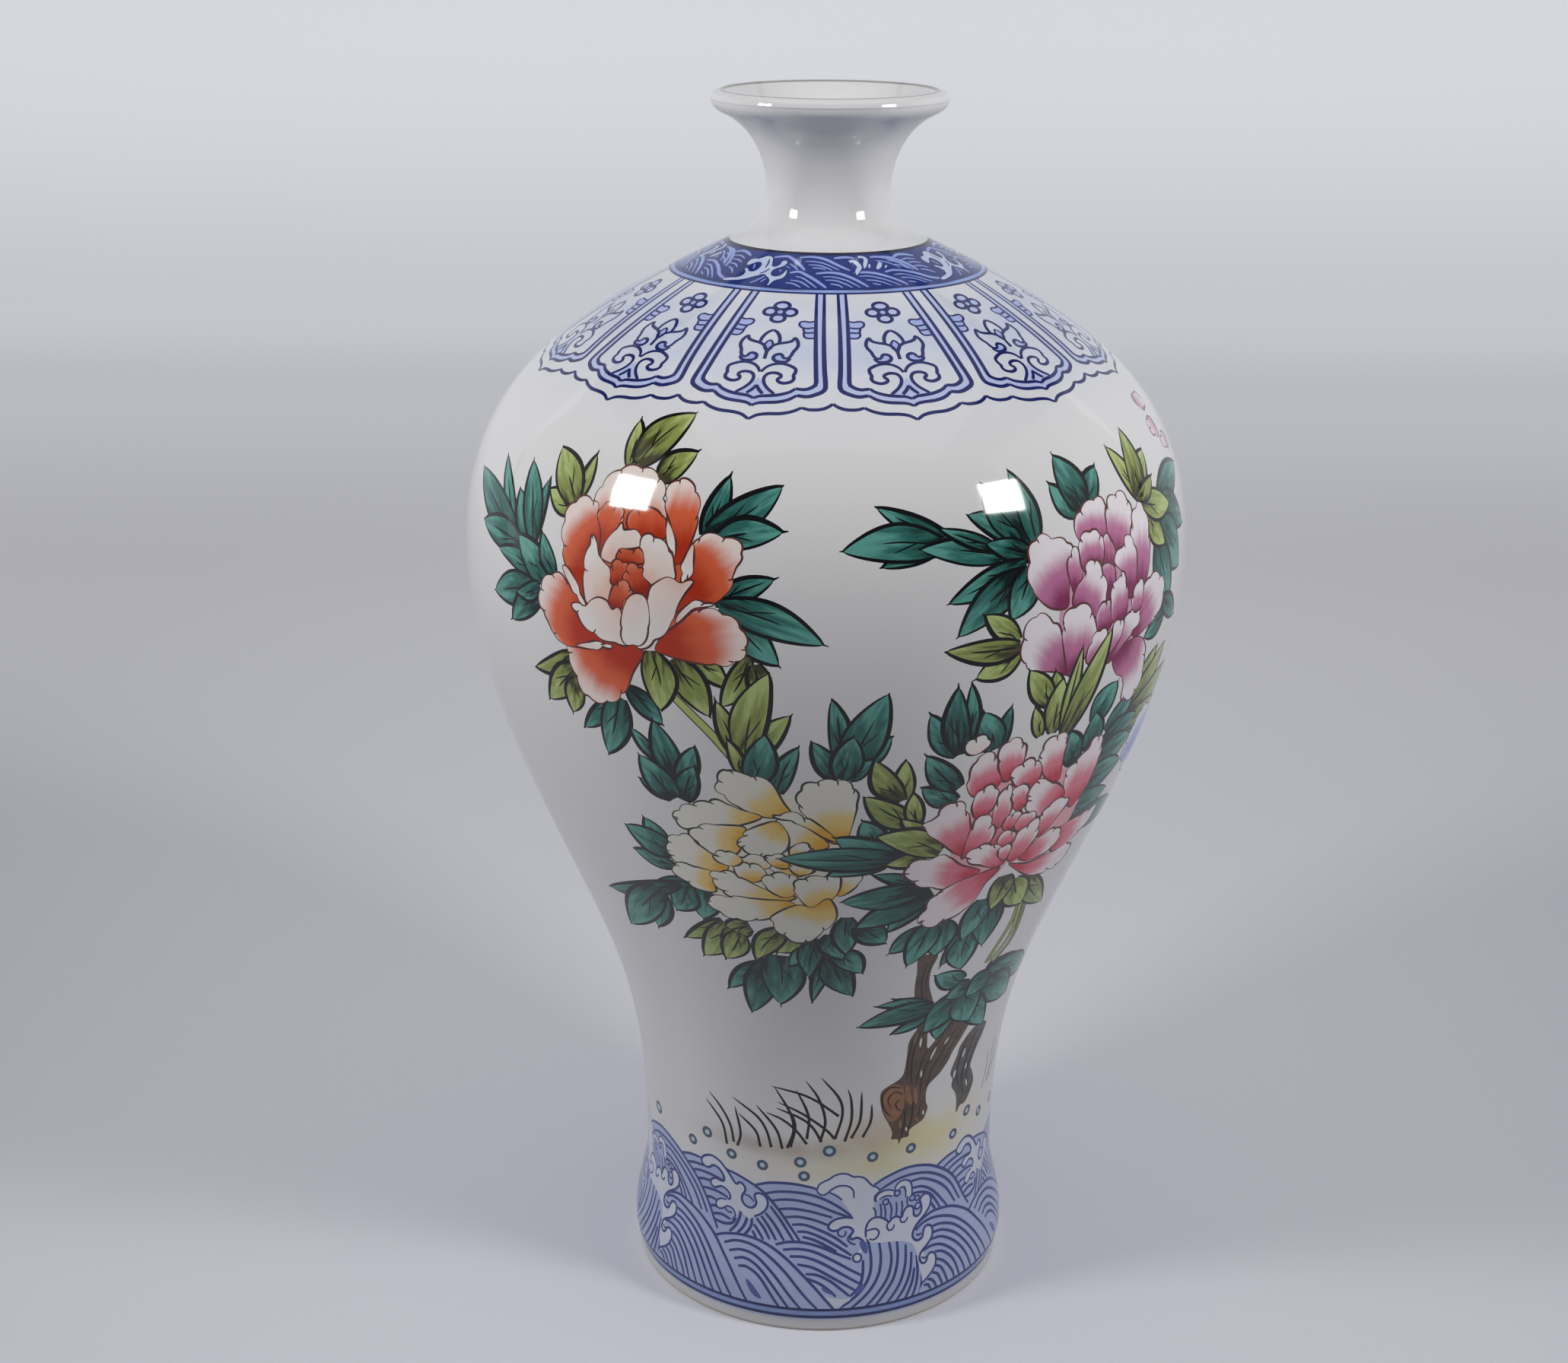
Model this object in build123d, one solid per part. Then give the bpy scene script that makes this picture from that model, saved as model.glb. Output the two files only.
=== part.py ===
from build123d import *
import os
from math import cos, hypot, radians, sin

# Porcelain vase of the meiping form: a spreading foot, a drawn-in waist, a full belly,
# a low shoulder and a small waisted neck with a bevelled lip.
# It is thrown in four sections, which rings of slip join.
# Millimetres, +Z up, origin at the centre of the foot rim on the table.

# Heights, each from the station below it
flare_rise = 9.0        # table to the widest turn of the foot
waist_rise = 25.0       # foot turn to the waist
flank_rise = 93.5       # waist to the flank, where the outline turns from hollow to full
belly_rise = 85.5       # flank to the belly
shoulder_rise = 80.0    # belly to the foot of the neck
throat_rise = 13.6      # foot of the neck to its narrowest turn
mouth_rise = 17.7       # throat to the underside of the lip
lip_rise = 5.7          # underside of the lip to its crest

# Outside radii at those stations
foot_radius = 52.6
flare_radius = 53.8
waist_radius = 50.0
flank_radius = 70.8
belly_radius = 95.2
collar_radius = 25.4
throat_radius = 16.0
lip_radius = 30.1

# Slopes of the outline in degrees from the horizontal
flank_slope = 66.7
shoulder_slope = 25.2
neck_slope = 28.0
mouth_slope = 24.5
crest_slope = 18.0      # bevel of the lip, where it meets the crest
funnel_slope = 32.0     # inside of the mouth, just under the crest

# Walls, foot and lip
body_wall = 5.0
neck_wall = 4.2
base_wall = 7.5
base_recess = 5.5       # height of the glazed base above the table
foot_rim_width = 7.0
foot_rounding = 1.0
recess_rounding = 3.0
floor_rounding = 14.0
lip_overhang = 3.0      # how far the lip's widest turn stands out past its underside
lip_bevel_rise = 2.1    # widest turn of the lip to its crest
lip_bevel_width = 2.8   # how far the crest stands in from the widest turn

# Luting
lute_thickness = 0.8
lute_bead_radius = 1.6  # slip squeezed out on the inside
belly_seam_drop = 46.0  # how far the belly seam lies below the widest turn

# How far each curve holds its end slopes, as a share of its chord
even_hold = (0.35, 0.35)
round_hold = (0.39, 0.39)
flank_hold = (0.47, 0.355)
belly_hold = (0.33, 0.33)
shoulder_hold = (0.396, 0.463)
throat_hold = (0.08, 0.735)
mouth_hold = (0.10, 0.53)
funnel_hold = (0.50, 0.20)

UP = 90.0
DOWN = -90.0
INWARD = 180.0
OUTWARD = 0.0

# Station heights
flare_z = flare_rise
waist_z = flare_z + waist_rise
flank_z = waist_z + flank_rise
belly_z = flank_z + belly_rise
collar_z = belly_z + shoulder_rise
throat_z = collar_z + throat_rise
lip_z = throat_z + mouth_rise
top_z = lip_z + lip_rise
floor_z = base_recess + base_wall


def heading(angle):
    """Unit step in the half section, as (radius, height), at an angle from outward."""
    return cos(radians(angle)), sin(radians(angle))


def inside(point, angle, wall):
    """Point of the inner wall, square to an outline that climbs at this angle."""
    along_radius, along_height = heading(angle)
    return point[0] - wall * along_height, point[1] + wall * along_radius


def curve(start, start_angle, end, end_angle, hold):
    """Cubic curve between two points with the given headings."""
    chord = hypot(end[0] - start[0], end[1] - start[1])
    leave = heading(start_angle)
    arrive = heading(end_angle)
    first = (start[0] + hold[0] * chord * leave[0], start[1] + hold[0] * chord * leave[1])
    last = (end[0] - hold[1] * chord * arrive[0], end[1] - hold[1] * chord * arrive[1])
    return Bezier(start, first, last, end)


def outer_wall():
    """Outline of the outside, from the edge of the foot rim up to the crest of the lip."""
    rim_edge = (foot_radius - foot_rounding, 0)
    rim_side = (foot_radius, foot_rounding)
    flare = (flare_radius, flare_z)
    waist = (waist_radius, waist_z)
    lip_under = (lip_radius - lip_overhang, lip_z)
    lip_side = (lip_radius, top_z - lip_bevel_rise)
    return [
        curve(rim_edge, OUTWARD, rim_side, UP, round_hold),
        curve(rim_side, UP, flare, UP, even_hold),
        curve(flare, UP, waist, UP, even_hold),
        curve(waist, UP, flank, flank_slope, flank_hold),
        curve(flank, flank_slope, belly, UP, belly_hold),
        curve(belly, UP, collar, INWARD - shoulder_slope, shoulder_hold),
        curve(collar, INWARD - neck_slope, throat, UP, throat_hold),
        curve(throat, UP, lip_under, mouth_slope, mouth_hold),
        curve(lip_under, mouth_slope, lip_side, UP, round_hold),
        curve(lip_side, UP, lip_crest, INWARD - crest_slope, round_hold),
    ]


def inner_wall():
    """Outline of the inside, from the crest of the lip down to the middle of the floor."""
    throat_inside = inside(throat, UP, neck_wall)
    collar_inside = inside(collar, INWARD - shoulder_slope, body_wall)
    belly_inside = inside(belly, UP, body_wall)
    flank_inside = inside(flank, flank_slope, body_wall)
    waist_inside = (waist_radius - body_wall, waist_z)
    floor_corner = (waist_inside[0], floor_z + floor_rounding)
    floor_edge = (waist_inside[0] - floor_rounding, floor_z)
    funnel_down = INWARD + funnel_slope
    return [
        curve(lip_crest, funnel_down, throat_inside, DOWN, funnel_hold),
        curve(throat_inside, DOWN, collar_inside, -neck_slope, throat_hold[::-1]),
        curve(collar_inside, -shoulder_slope, belly_inside, DOWN, shoulder_hold[::-1]),
        curve(belly_inside, DOWN, flank_inside, flank_slope - INWARD, belly_hold[::-1]),
        curve(flank_inside, flank_slope - INWARD, waist_inside, DOWN, flank_hold[::-1]),
        Line(waist_inside, floor_corner),
        curve(floor_corner, DOWN, floor_edge, INWARD, round_hold),
        Line(floor_edge, (0, floor_z)),
    ]


def underside():
    """Outline of the recessed base and the foot rim, from the axis out to the rim's edge."""
    rim_inner = foot_radius - foot_rim_width
    recess_edge = (rim_inner - recess_rounding, base_recess)
    recess_side = (rim_inner, base_recess - recess_rounding)
    rim_start = (rim_inner, foot_rounding)
    rim_flat = (rim_inner + foot_rounding, 0)
    return [
        Line((0, floor_z), (0, base_recess)),
        Line((0, base_recess), recess_edge),
        curve(recess_edge, OUTWARD, recess_side, DOWN, round_hold),
        Line(recess_side, rim_start),
        curve(rim_start, DOWN, rim_flat, OUTWARD, round_hold),
        Line(rim_flat, (foot_radius - foot_rounding, 0)),
    ]


def band(bottom, top):
    """The part of the half section between two heights."""
    reach = 2 * max(belly_radius, flare_radius, lip_radius)
    window = Pos(0, bottom) * Rectangle(reach, top - bottom, align=(Align.MIN, Align.MIN))
    return half_section & window


def lute(top):
    """Half section of a ring of slip below a seam, with its bead on the inside."""
    ring = band(top - lute_thickness, top)
    inner_radius = ring.bounding_box().min.X
    bead = Pos(inner_radius, top - lute_thickness / 2) * Circle(lute_bead_radius)
    return ring + (bead - half_section)


def thrown(face):
    """Turn a half section once round the axis."""
    return revolve(Plane.XZ * face, Axis.Z, 360)


flank = (flank_radius, flank_z)
belly = (belly_radius, belly_z)
collar = (collar_radius, collar_z)
throat = (throat_radius, throat_z)
lip_crest = (lip_radius - lip_bevel_width, top_z)
half_section = make_face(outer_wall() + inner_wall() + underside())

foot_seam = waist_z
belly_seam = belly_z - belly_seam_drop
neck_seam = collar_z

pieces = {
    "foot_section": band(0, foot_seam - lute_thickness),
    "foot_luting": lute(foot_seam),
    "lower_body": band(foot_seam, belly_seam - lute_thickness),
    "belly_luting": lute(belly_seam),
    "upper_body": band(belly_seam, neck_seam - lute_thickness),
    "neck_luting": lute(neck_seam),
    "neck_and_mouth": band(neck_seam, top_z),
}

os.makedirs("parts", exist_ok=True)
for name, face in pieces.items():
    piece = thrown(face)
    piece.label = name
    export_step(piece, f"parts/{name}.step")
    box = piece.bounding_box()
    print(f"{name}: volume {piece.volume:.1f} mm3, height {box.min.Z:.2f} to {box.max.Z:.2f} mm")
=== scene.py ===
import math
import random

import bpy
import numpy as np
from mathutils import Matrix, Vector
from mathutils.geometry import delaunay_2d_cdt


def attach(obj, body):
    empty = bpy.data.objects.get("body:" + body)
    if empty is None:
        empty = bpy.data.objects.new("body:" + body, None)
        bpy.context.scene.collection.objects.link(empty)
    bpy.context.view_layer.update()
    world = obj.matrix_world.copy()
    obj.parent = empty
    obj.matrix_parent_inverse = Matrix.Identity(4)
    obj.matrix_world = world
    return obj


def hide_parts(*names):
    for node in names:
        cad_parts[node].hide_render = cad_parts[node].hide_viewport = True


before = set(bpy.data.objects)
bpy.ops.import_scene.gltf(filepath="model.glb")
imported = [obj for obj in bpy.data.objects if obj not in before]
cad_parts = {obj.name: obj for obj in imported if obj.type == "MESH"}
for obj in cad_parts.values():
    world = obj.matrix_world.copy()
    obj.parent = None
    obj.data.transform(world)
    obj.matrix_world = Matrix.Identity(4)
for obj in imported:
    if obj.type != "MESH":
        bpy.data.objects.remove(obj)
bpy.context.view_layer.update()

MM = 0.001
FULL_TURN = 360
HALF_TURN = 180
CLOSE = 1e-5            # places nearer than this are one place
TINY = 1e-9             # keeps a division away from zero
OUTWARD, UP, INWARD, DOWN = 0.0, 90.0, 180.0, -90.0

# Outline of the vase, in millimetres, as the turned pieces have it
flare_rise = 9.0
waist_rise = 25.0
flank_rise = 93.5
belly_rise = 85.5
shoulder_rise = 80.0
throat_rise = 13.6
mouth_rise = 17.7
lip_rise = 5.7
foot_radius = 52.6
flare_radius = 53.8
waist_radius = 50.0
flank_radius = 70.8
belly_radius = 95.2
collar_radius = 25.4
throat_radius = 16.0
lip_radius = 30.1
flank_slope = 66.7
shoulder_slope = 25.2
neck_slope = 28.0
mouth_slope = 24.5
crest_slope = 18.0
funnel_slope = 32.0
body_wall = 5.0
neck_wall = 4.2
base_wall = 7.5
base_recess = 5.5
foot_rim_width = 7.0
foot_rounding = 1.0
recess_rounding = 3.0
floor_rounding = 14.0
lip_overhang = 3.0
lip_bevel_rise = 2.1
lip_bevel_width = 2.8
belly_seam_drop = 46.0
# a band on the shoulder of the lip, a little flatter than the rest, that holds the lamps' long reflections
lip_flat_heading = UP + 15.5
lip_flat_turn = 3.5
lip_flat_width = 0.9
lip_fine_steps = 200

# how far a curve keeps its direction at its start and end, as shares of the way between them
flare_hold = (0.35, 0.35)
flank_hold = (0.47, 0.355)
shoulder_hold = (0.396, 0.463)
neck_hold = (0.08, 0.735)
mouth_hold = (0.10, 0.53)
funnel_hold = (0.50, 0.20)
even_hold = (0.33, 0.33)
round_hold = (0.39, 0.39)       # a quarter of a circle

flare_z = flare_rise
waist_z = flare_z + waist_rise
flank_z = waist_z + flank_rise
belly_z = flank_z + belly_rise
collar_z = belly_z + shoulder_rise
throat_z = collar_z + throat_rise
lip_z = throat_z + mouth_rise
top_z = lip_z + lip_rise
floor_z = base_recess + base_wall
belly_seam_z = belly_z - belly_seam_drop


def heading(angle):
    """A step of one unit in the direction of an angle."""
    return np.array((math.cos(math.radians(angle)), math.sin(math.radians(angle))))


def curve(start, start_angle, end, end_angle, hold, steps=48):
    """Points on a smooth curve from one point and direction to another."""
    start, end = np.array(start, float), np.array(end, float)
    chord = np.hypot(*(end - start))
    first = start + hold[0] * chord * heading(start_angle)
    last = end - hold[1] * chord * heading(end_angle)
    t = np.linspace(0, 1, steps + 1)[:, None]
    return (1 - t) ** 3 * start + 3 * (1 - t) ** 2 * t * first + 3 * (1 - t) * t * t * last + t ** 3 * end


def join(curves):
    """One outline from curves that follow each other."""
    return np.concatenate([curves[0]] + [piece[1:] for piece in curves[1:]])


def inside(point, angle, wall):
    """The point a wall's thickness inward from one on an outline with this direction."""
    step = heading(angle)
    return (point[0] - wall * step[1], point[1] + wall * step[0])


foot = (foot_radius, foot_rounding)
flare = (flare_radius, flare_z)
waist = (waist_radius, waist_z)
flank = (flank_radius, flank_z)
belly = (belly_radius, belly_z)
collar = (collar_radius, collar_z)
throat = (throat_radius, throat_z)
lip_under = (lip_radius - lip_overhang, lip_z)
lip_side = (lip_radius, top_z - lip_bevel_rise)
lip_crest = (lip_radius - lip_bevel_width, top_z)

outer = join([
    curve(foot, UP, flare, UP, flare_hold),
    curve(flare, UP, waist, UP, flare_hold),
    curve(waist, UP, flank, flank_slope, flank_hold),
    curve(flank, flank_slope, belly, UP, even_hold),
    curve(belly, UP, collar, INWARD - shoulder_slope, shoulder_hold),
])
outer_run = np.concatenate([[0], np.cumsum(np.hypot(*np.diff(outer, axis=0).T))])
outer_lean = np.arctan2(-np.gradient(outer[:, 0], outer_run), np.gradient(outer[:, 1], outer_run))

lip_shoulder = curve(lip_side, UP, lip_crest, INWARD - crest_slope, round_hold, lip_fine_steps)
shoulder_steps = np.diff(lip_shoulder, axis=0)
shoulder_headings = np.degrees(np.arctan2(shoulder_steps[:, 1], shoulder_steps[:, 0]))
lip_flat_middle = lip_shoulder[np.argmin(abs(shoulder_headings - lip_flat_heading))]
lip_flat_low = lip_flat_middle - heading(lip_flat_heading) * lip_flat_width / 2
lip_flat_high = lip_flat_middle + heading(lip_flat_heading) * lip_flat_width / 2
lip_flat_start = lip_flat_heading - lip_flat_turn
lip_flat_end = lip_flat_heading + lip_flat_turn
neck_outside = join([
    curve(collar, INWARD - neck_slope, throat, UP, neck_hold, steps=24),
    curve(throat, UP, lip_under, mouth_slope, mouth_hold, steps=24),
    curve(lip_under, mouth_slope, lip_side, UP, round_hold, steps=10),
    curve(lip_side, UP, lip_flat_low, lip_flat_start, round_hold, steps=6),
    curve(lip_flat_low, lip_flat_start, lip_flat_high, lip_flat_end, even_hold, steps=4),
    curve(lip_flat_high, lip_flat_end, lip_crest, INWARD - crest_slope, round_hold, steps=6),
])

throat_inside = inside(throat, UP, neck_wall)
collar_inside = inside(collar, INWARD - shoulder_slope, body_wall)
belly_inside = inside(belly, UP, body_wall)
flank_inside = inside(flank, flank_slope, body_wall)
waist_inside = (waist_radius - body_wall, waist_z)
floor_corner = (waist_inside[0], floor_z + floor_rounding)
floor_edge = (waist_inside[0] - floor_rounding, floor_z)
neck_inside = join([
    curve(lip_crest, INWARD + funnel_slope, throat_inside, DOWN, funnel_hold, steps=48),
    curve(throat_inside, DOWN, collar_inside, -neck_slope, neck_hold[::-1], steps=16),
])
upper_inside = join([
    curve(collar_inside, -shoulder_slope, belly_inside, DOWN, shoulder_hold[::-1], steps=24),
    curve(belly_inside, DOWN, flank_inside, flank_slope - INWARD, even_hold, steps=24),
    curve(flank_inside, flank_slope - INWARD, waist_inside, DOWN, flank_hold[::-1], steps=20),
])
foot_inside = join([
    np.array([waist_inside, floor_corner]),
    curve(floor_corner, DOWN, floor_edge, INWARD, round_hold, steps=8),
    np.array([floor_edge, (0, floor_z)]),
])

rim_inner = foot_radius - foot_rim_width
recess_edge = (rim_inner - recess_rounding, base_recess)
recess_side = (rim_inner, base_recess - recess_rounding)
rim_inside = (rim_inner, foot_rounding)
rim_flat_start = (rim_inner + foot_rounding, 0)
rim_flat_end = (foot_radius - foot_rounding, 0)
underside = join([
    np.array([(0, base_recess), recess_edge]),
    curve(recess_edge, OUTWARD, recess_side, DOWN, round_hold, steps=6),
    curve(rim_inside, DOWN, rim_flat_start, OUTWARD, round_hold, steps=5),
])
rim_rounding = curve(rim_flat_end, OUTWARD, foot, UP, round_hold, steps=5)
underside = np.concatenate([underside, rim_rounding[:-1]])


def radius_at(run):
    """Radius of the outline at a run."""
    return np.interp(run, outer_run, outer[:, 0])


def run_at(height):
    """Run up the outline at a height below the collar."""
    return float(np.interp(height, outer[:, 1], outer_run))


def between(outline, low, high):
    """The part of a descending outline between two heights."""
    order = np.argsort(outline[:, 1])
    radius_high, radius_low = np.interp((high, low), outline[order, 1], outline[order, 0])
    middle = [tuple(p) for p in outline if low + CLOSE < p[1] < high - CLOSE]
    return [(float(radius_high), high)] + middle + [(float(radius_low), low)]


# Paint box
grid_columns = 144              # columns of the skin's grid, which the plain rings follow
line_width = 0.94
fine_line = 0.6
EVEN = (1, 1)                   # taper of a stroke that is as wide at its ends as in its middle
stroke_fullness = 0.6           # the lower, the sooner a stroke comes to its full width
stroke_step = 0.9
span_steps = 12                 # steps between two points of a smooth line, before it is spaced evenly
fewest_steps = 4
uneven_waves = 3                # how often an uneven line swells on its way round


class Canvas:
    """A flat painting surface: degrees round the axis, and run, the way up the outline in millimetres."""

    def __init__(self):
        self.shapes = []

    def fill(self, points, pigment, axis=None, width=None):
        """Lay a filled shape over what is there. axis is the pair of points along which its tone runs."""
        self.shapes.append((np.array(points, float), pigment, axis, width))

    def brush(self, points, width, pigment, taper=EVEN, step=stroke_step, closed=False):
        """Lay a stroke along a smooth line through the points, thinner at its ends by the taper."""
        flat, scale = in_mm(points)
        line = smooth(flat, step, closed)
        self.fill(ribbon(line, width, taper, closed) / scale, pigment)


def degree_mm(run):
    """Millimetres round the surface for one degree, at this run up the outline."""
    return math.radians(1) * radius_at(run)


def in_mm(points, x=0):
    """The points, moved on by x degrees, in millimetres on the surface, and the scale that leads back."""
    points = np.array(points, float) + (x, 0)
    scale = np.array((degree_mm(points[:, 1].mean()), 1))
    return points * scale, scale


def smooth(points, step, closed=False):
    """Evenly spaced points on a smooth (Catmull-Rom) curve through the given ones."""
    points = np.array(points, float)
    if len(points) < 3 and not closed:
        count = max(2, int(np.hypot(*(points[1] - points[0])) / step) + 1)
        return points[0] + np.linspace(0, 1, count)[:, None] * (points[1] - points[0])
    if closed:
        ends = points[-1:], points[:2]
    else:
        ends = 2 * points[:1] - points[1:2], 2 * points[-1:] - points[-2:-1]
    ring = np.concatenate([ends[0], points, ends[1]])
    dense = []
    t = np.linspace(0, 1, span_steps, endpoint=False)[:, None]
    for a, b, c, d in zip(ring[:-3], ring[1:-2], ring[2:-1], ring[3:]):
        dense.append(0.5 * (2 * b + (c - a) * t + (2 * a - 5 * b + 4 * c - d) * t ** 2
                            + (3 * b - a - 3 * c + d) * t ** 3))
    dense.append(ring[-2:-1])
    dense = np.concatenate(dense)
    run = np.concatenate([[0], np.cumsum(np.hypot(*np.diff(dense, axis=0).T))])
    count = max(fewest_steps, int(run[-1] / step) + 1)
    even = np.linspace(0, run[-1], count + 1)
    return np.stack([np.interp(even, run, dense[:, 0]), np.interp(even, run, dense[:, 1])], -1)


def directions(steps):
    """The steps of a line, each made one unit long."""
    return steps / np.maximum(np.hypot(steps[:, 0], steps[:, 1]), TINY)[:, None]


def ribbon(line, width, taper=EVEN, closed=False, uneven=0.0):
    """Outline of a stroke along a line. A closed one may swell and thin on its way round."""
    if closed:
        along = np.roll(line[:-1], -1, 0) - np.roll(line[:-1], 1, 0)
        along = np.concatenate([along, along[:1]])
    else:
        along = np.gradient(line, axis=0)
    along = directions(along)
    side = np.stack([-along[:, 1], along[:, 0]], -1)
    t = np.linspace(0, 1, len(line))
    if taper == EVEN or closed:
        half = width / 2 * (1 + uneven * np.sin(2 * np.pi * uneven_waves * t + len(line)))
    else:
        swell = np.sin(np.pi * t) ** stroke_fullness
        half = width / 2 * ((taper[0] * (1 - t) + taper[1] * t) * (1 - swell) + swell)
    left = line + side * half[:, None]
    right = line - side * half[:, None]
    return np.concatenate([left, right[::-1]])


def mirrored(points):
    """The same points on the other side of a panel's centre line."""
    return [(-x, y) for x, y in points]


def shifted(points, x):
    """The same points, moved on by x degrees."""
    return [(px + x, py) for px, py in points]


def closed_half(points):
    """Closed outline from a half outline that starts and ends on the centre line."""
    return points + mirrored(points)[::-1]


def disc(centre, size, count=20, squash=1.0):
    """Outline of a disc on the surface. size is its radius in millimetres."""
    scale = degree_mm(centre[1])
    turn = np.linspace(0, 2 * np.pi, count, endpoint=False)
    return np.stack([centre[0] + size * np.cos(turn) / scale, centre[1] + size * squash * np.sin(turn)], -1)


def patch(canvas, outline, pigment, x=0, step=0.8):
    """A filled patch with a smooth edge."""
    flat, scale = in_mm(outline, x)
    canvas.fill(smooth(flat, step, closed=True)[:-1] / scale, pigment)


def lines(canvas, x, paths, ink, width):
    """Strokes along the paths, moved on by x degrees."""
    for path in paths:
        canvas.brush(shifted(path, x), width, ink, taper=(0.8, 0.75), step=1.0)


def claw(canvas, x, path, size, line, ink, white, ends):
    """A finger of foam: a white stroke with an edge line. ends says how thin the two run out."""
    canvas.brush(shifted(path, x), size + 2 * line, ink, taper=(0.8, ends[0]), step=0.5)
    canvas.brush(shifted(path, x), size, white, taper=(0.9, ends[1]), step=0.5)


def ring(canvas, low, high, pigment):
    """A plain band right round the vase."""
    turn = np.linspace(-HALF_TURN, HALF_TURN, grid_columns + 1)
    canvas.fill([(x, low) for x in turn] + [(x, high) for x in turn[::-1]], pigment)


# Lappets: twelve panels round the shoulder, each as half outlines in degrees from its centre line and run
lappet_count = 12
lappet_phase = 1.2
lappet_pitch = FULL_TURN / lappet_count
lappet_border = 1.2
lappet_inner_border = 1.1
lappet_outer = [
    (12.7, 317.5), (13, 300), (13.3, 290), (13.6, 284.4), (13.2, 282.9), (12, 282), (10.2, 281.2),
    (8.2, 281.5)]
lappet_outer_foot = [(8.2, 281.5), (6.7, 280.2), (4.7, 279.4), (2.2, 279.1), (0.9, 278.8), (0, 278.1)]
lappet_inner = [
    (10.1, 317.5), (10.7, 306), (11.2, 296), (11.6, 288), (11.7, 285.2), (11.2, 284.2), (9.7, 283.3),
    (7.8, 283.5)]
lappet_inner_foot = [(7.8, 283.5), (6.7, 282.4), (4.7, 281.5), (2.7, 281.1), (1.2, 280.9), (0, 280.2)]
lappet_fringe = [(15, 279.2), (14.1, 278.3), (12.7, 277.6), (10.7, 277.5), (9.3, 278)]
lappet_fringe_foot = [(9.3, 278), (7.7, 276.9), (5.7, 276.2), (3.2, 276), (1.4, 275.5), (0, 274.3)]
# side tabs, from the lowest up, each laid over the one below
tab_layers = [
    [(11, 299.9), (9, 299.8), (8.1, 300.4), (7.9, 301.6), (8.2, 302.3), (10.9, 302.2)],
    [(10.9, 301.9), (8.4, 301.7), (7.8, 302.4), (7.6, 303.4), (8, 304), (10.9, 304)],
    [(10.9, 303.7), (8.6, 303.3), (7.4, 303.5), (6.6, 304.1), (6.3, 305.1), (7, 305.8), (8.1, 305.8),
     (9.2, 305.6), (10.7, 306.1)]]
lotus_dome = [(2.4, 297.7), (2.2, 299.6), (1.3, 301.4), (0, 302.4)]
lotus_bud = [(0, 298.9), (0.8, 297.9), (1, 296.5), (0.5, 295.5), (0, 294.6)]
lotus_stem = [(0, 295.2), (0, 292.4)]
lotus_leaf = [
    (0.1, 294.8), (0.5, 296), (1.2, 297), (2.4, 297.7), (4.2, 298.2), (5.4, 298.8), (5.9, 299.8),
    (6.6, 299), (7, 297.6), (6.8, 296.4), (6.1, 295), (5.8, 293.8), (5.2, 292.9), (4.1, 292.9)]
lotus_curl = [
    (4.1, 292.9), (3.9, 293.7), (3.2, 294.2), (2.2, 293.8), (1.9, 292.9), (2.4, 292), (3.6, 291.6),
    (5, 291.8), (5.8, 292.9)]
volute = [
    (0.1, 288.2), (1, 289.8), (2.4, 290.8), (4.2, 291.1), (5.8, 290.6), (7.2, 289.6), (7.3, 288.4),
    (7, 287.4), (7.2, 286.6), (6.8, 285.6), (5.4, 285), (4.2, 285.4), (3.9, 286.2), (4.5, 286.9),
    (4.3, 287.6), (3.2, 288.1), (1.8, 287.8), (1.1, 286.6), (1.3, 285), (2.2, 283.4), (3.8, 281.7)]
spade = [(0, 284.2), (0.6, 282.9), (1.6, 281.6)]
spade_ground = [(0, 286.6), (1.2, 284.8), (2.2, 283.2), (3.6, 281.7), (0, 280.6)]
border_taper = (0.85, 0.8)
lotus_taper = (0.8, 0.8)
bud_taper = (0.8, 0.9)
spade_taper = (0.6, 0.8)
lotus_step = 0.45
bud_step = 0.5
# half outlines with the width, taper and step of their strokes
lappet_strokes = (
    (lappet_outer, lappet_border, border_taper, stroke_step),
    (lappet_outer_foot, line_width, border_taper, stroke_step),
    (lappet_inner, lappet_inner_border, border_taper, stroke_step),
    (lappet_inner_foot, line_width, border_taper, stroke_step),
    (lappet_fringe, line_width, border_taper, stroke_step),
    (lappet_fringe_foot, line_width, border_taper, stroke_step),
    (lotus_leaf, line_width, lotus_taper, lotus_step),
    (lotus_curl, line_width, lotus_taper, lotus_step),
    (lotus_dome, line_width, lotus_taper, lotus_step),
    (volute, line_width, lotus_taper, lotus_step),
    (lotus_bud, fine_line, bud_taper, bud_step),
    (spade, line_width, spade_taper, bud_step),
)
# the flower of a lappet: its petals' places from the centre, width and height, all in millimetres
flower_run = 309.0
flower_eye = 1.25
flower_eye_centre = 0.65
flower_petals = ((0, 2.35, 1.85, 1.4), (0, -2.35, 1.7, 1.4), (2.5, 0, 1.55, 1.4), (-2.5, 0, 1.55, 1.4))


def smooth_run(*runs):
    """Joined smooth half outline. The join of two runs stays a corner."""
    line = []
    for run in runs:
        scale = degree_mm(run[0][1])
        line += [tuple(p) for p in smooth(np.array(run) * (scale, 1), step=1.2) / (scale, 1)]
    return line


def lappet_flower(canvas, x, y):
    """Four round petals about a small eye, in outline."""
    scale = degree_mm(y)
    for dx, dy, wide, tall in flower_petals:
        place = (x + dx / scale, y + dy)
        canvas.fill(disc(place, wide, count=14, squash=tall / wide), "lappet_wash")
        outline = disc(place, wide, count=12, squash=tall / wide)
        canvas.brush(outline, line_width, "cobalt", step=0.6, closed=True)
    canvas.fill(disc((x, y), flower_eye), "cobalt")
    canvas.fill(disc((x, y), flower_eye_centre, count=12), "tab_wash")


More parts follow.
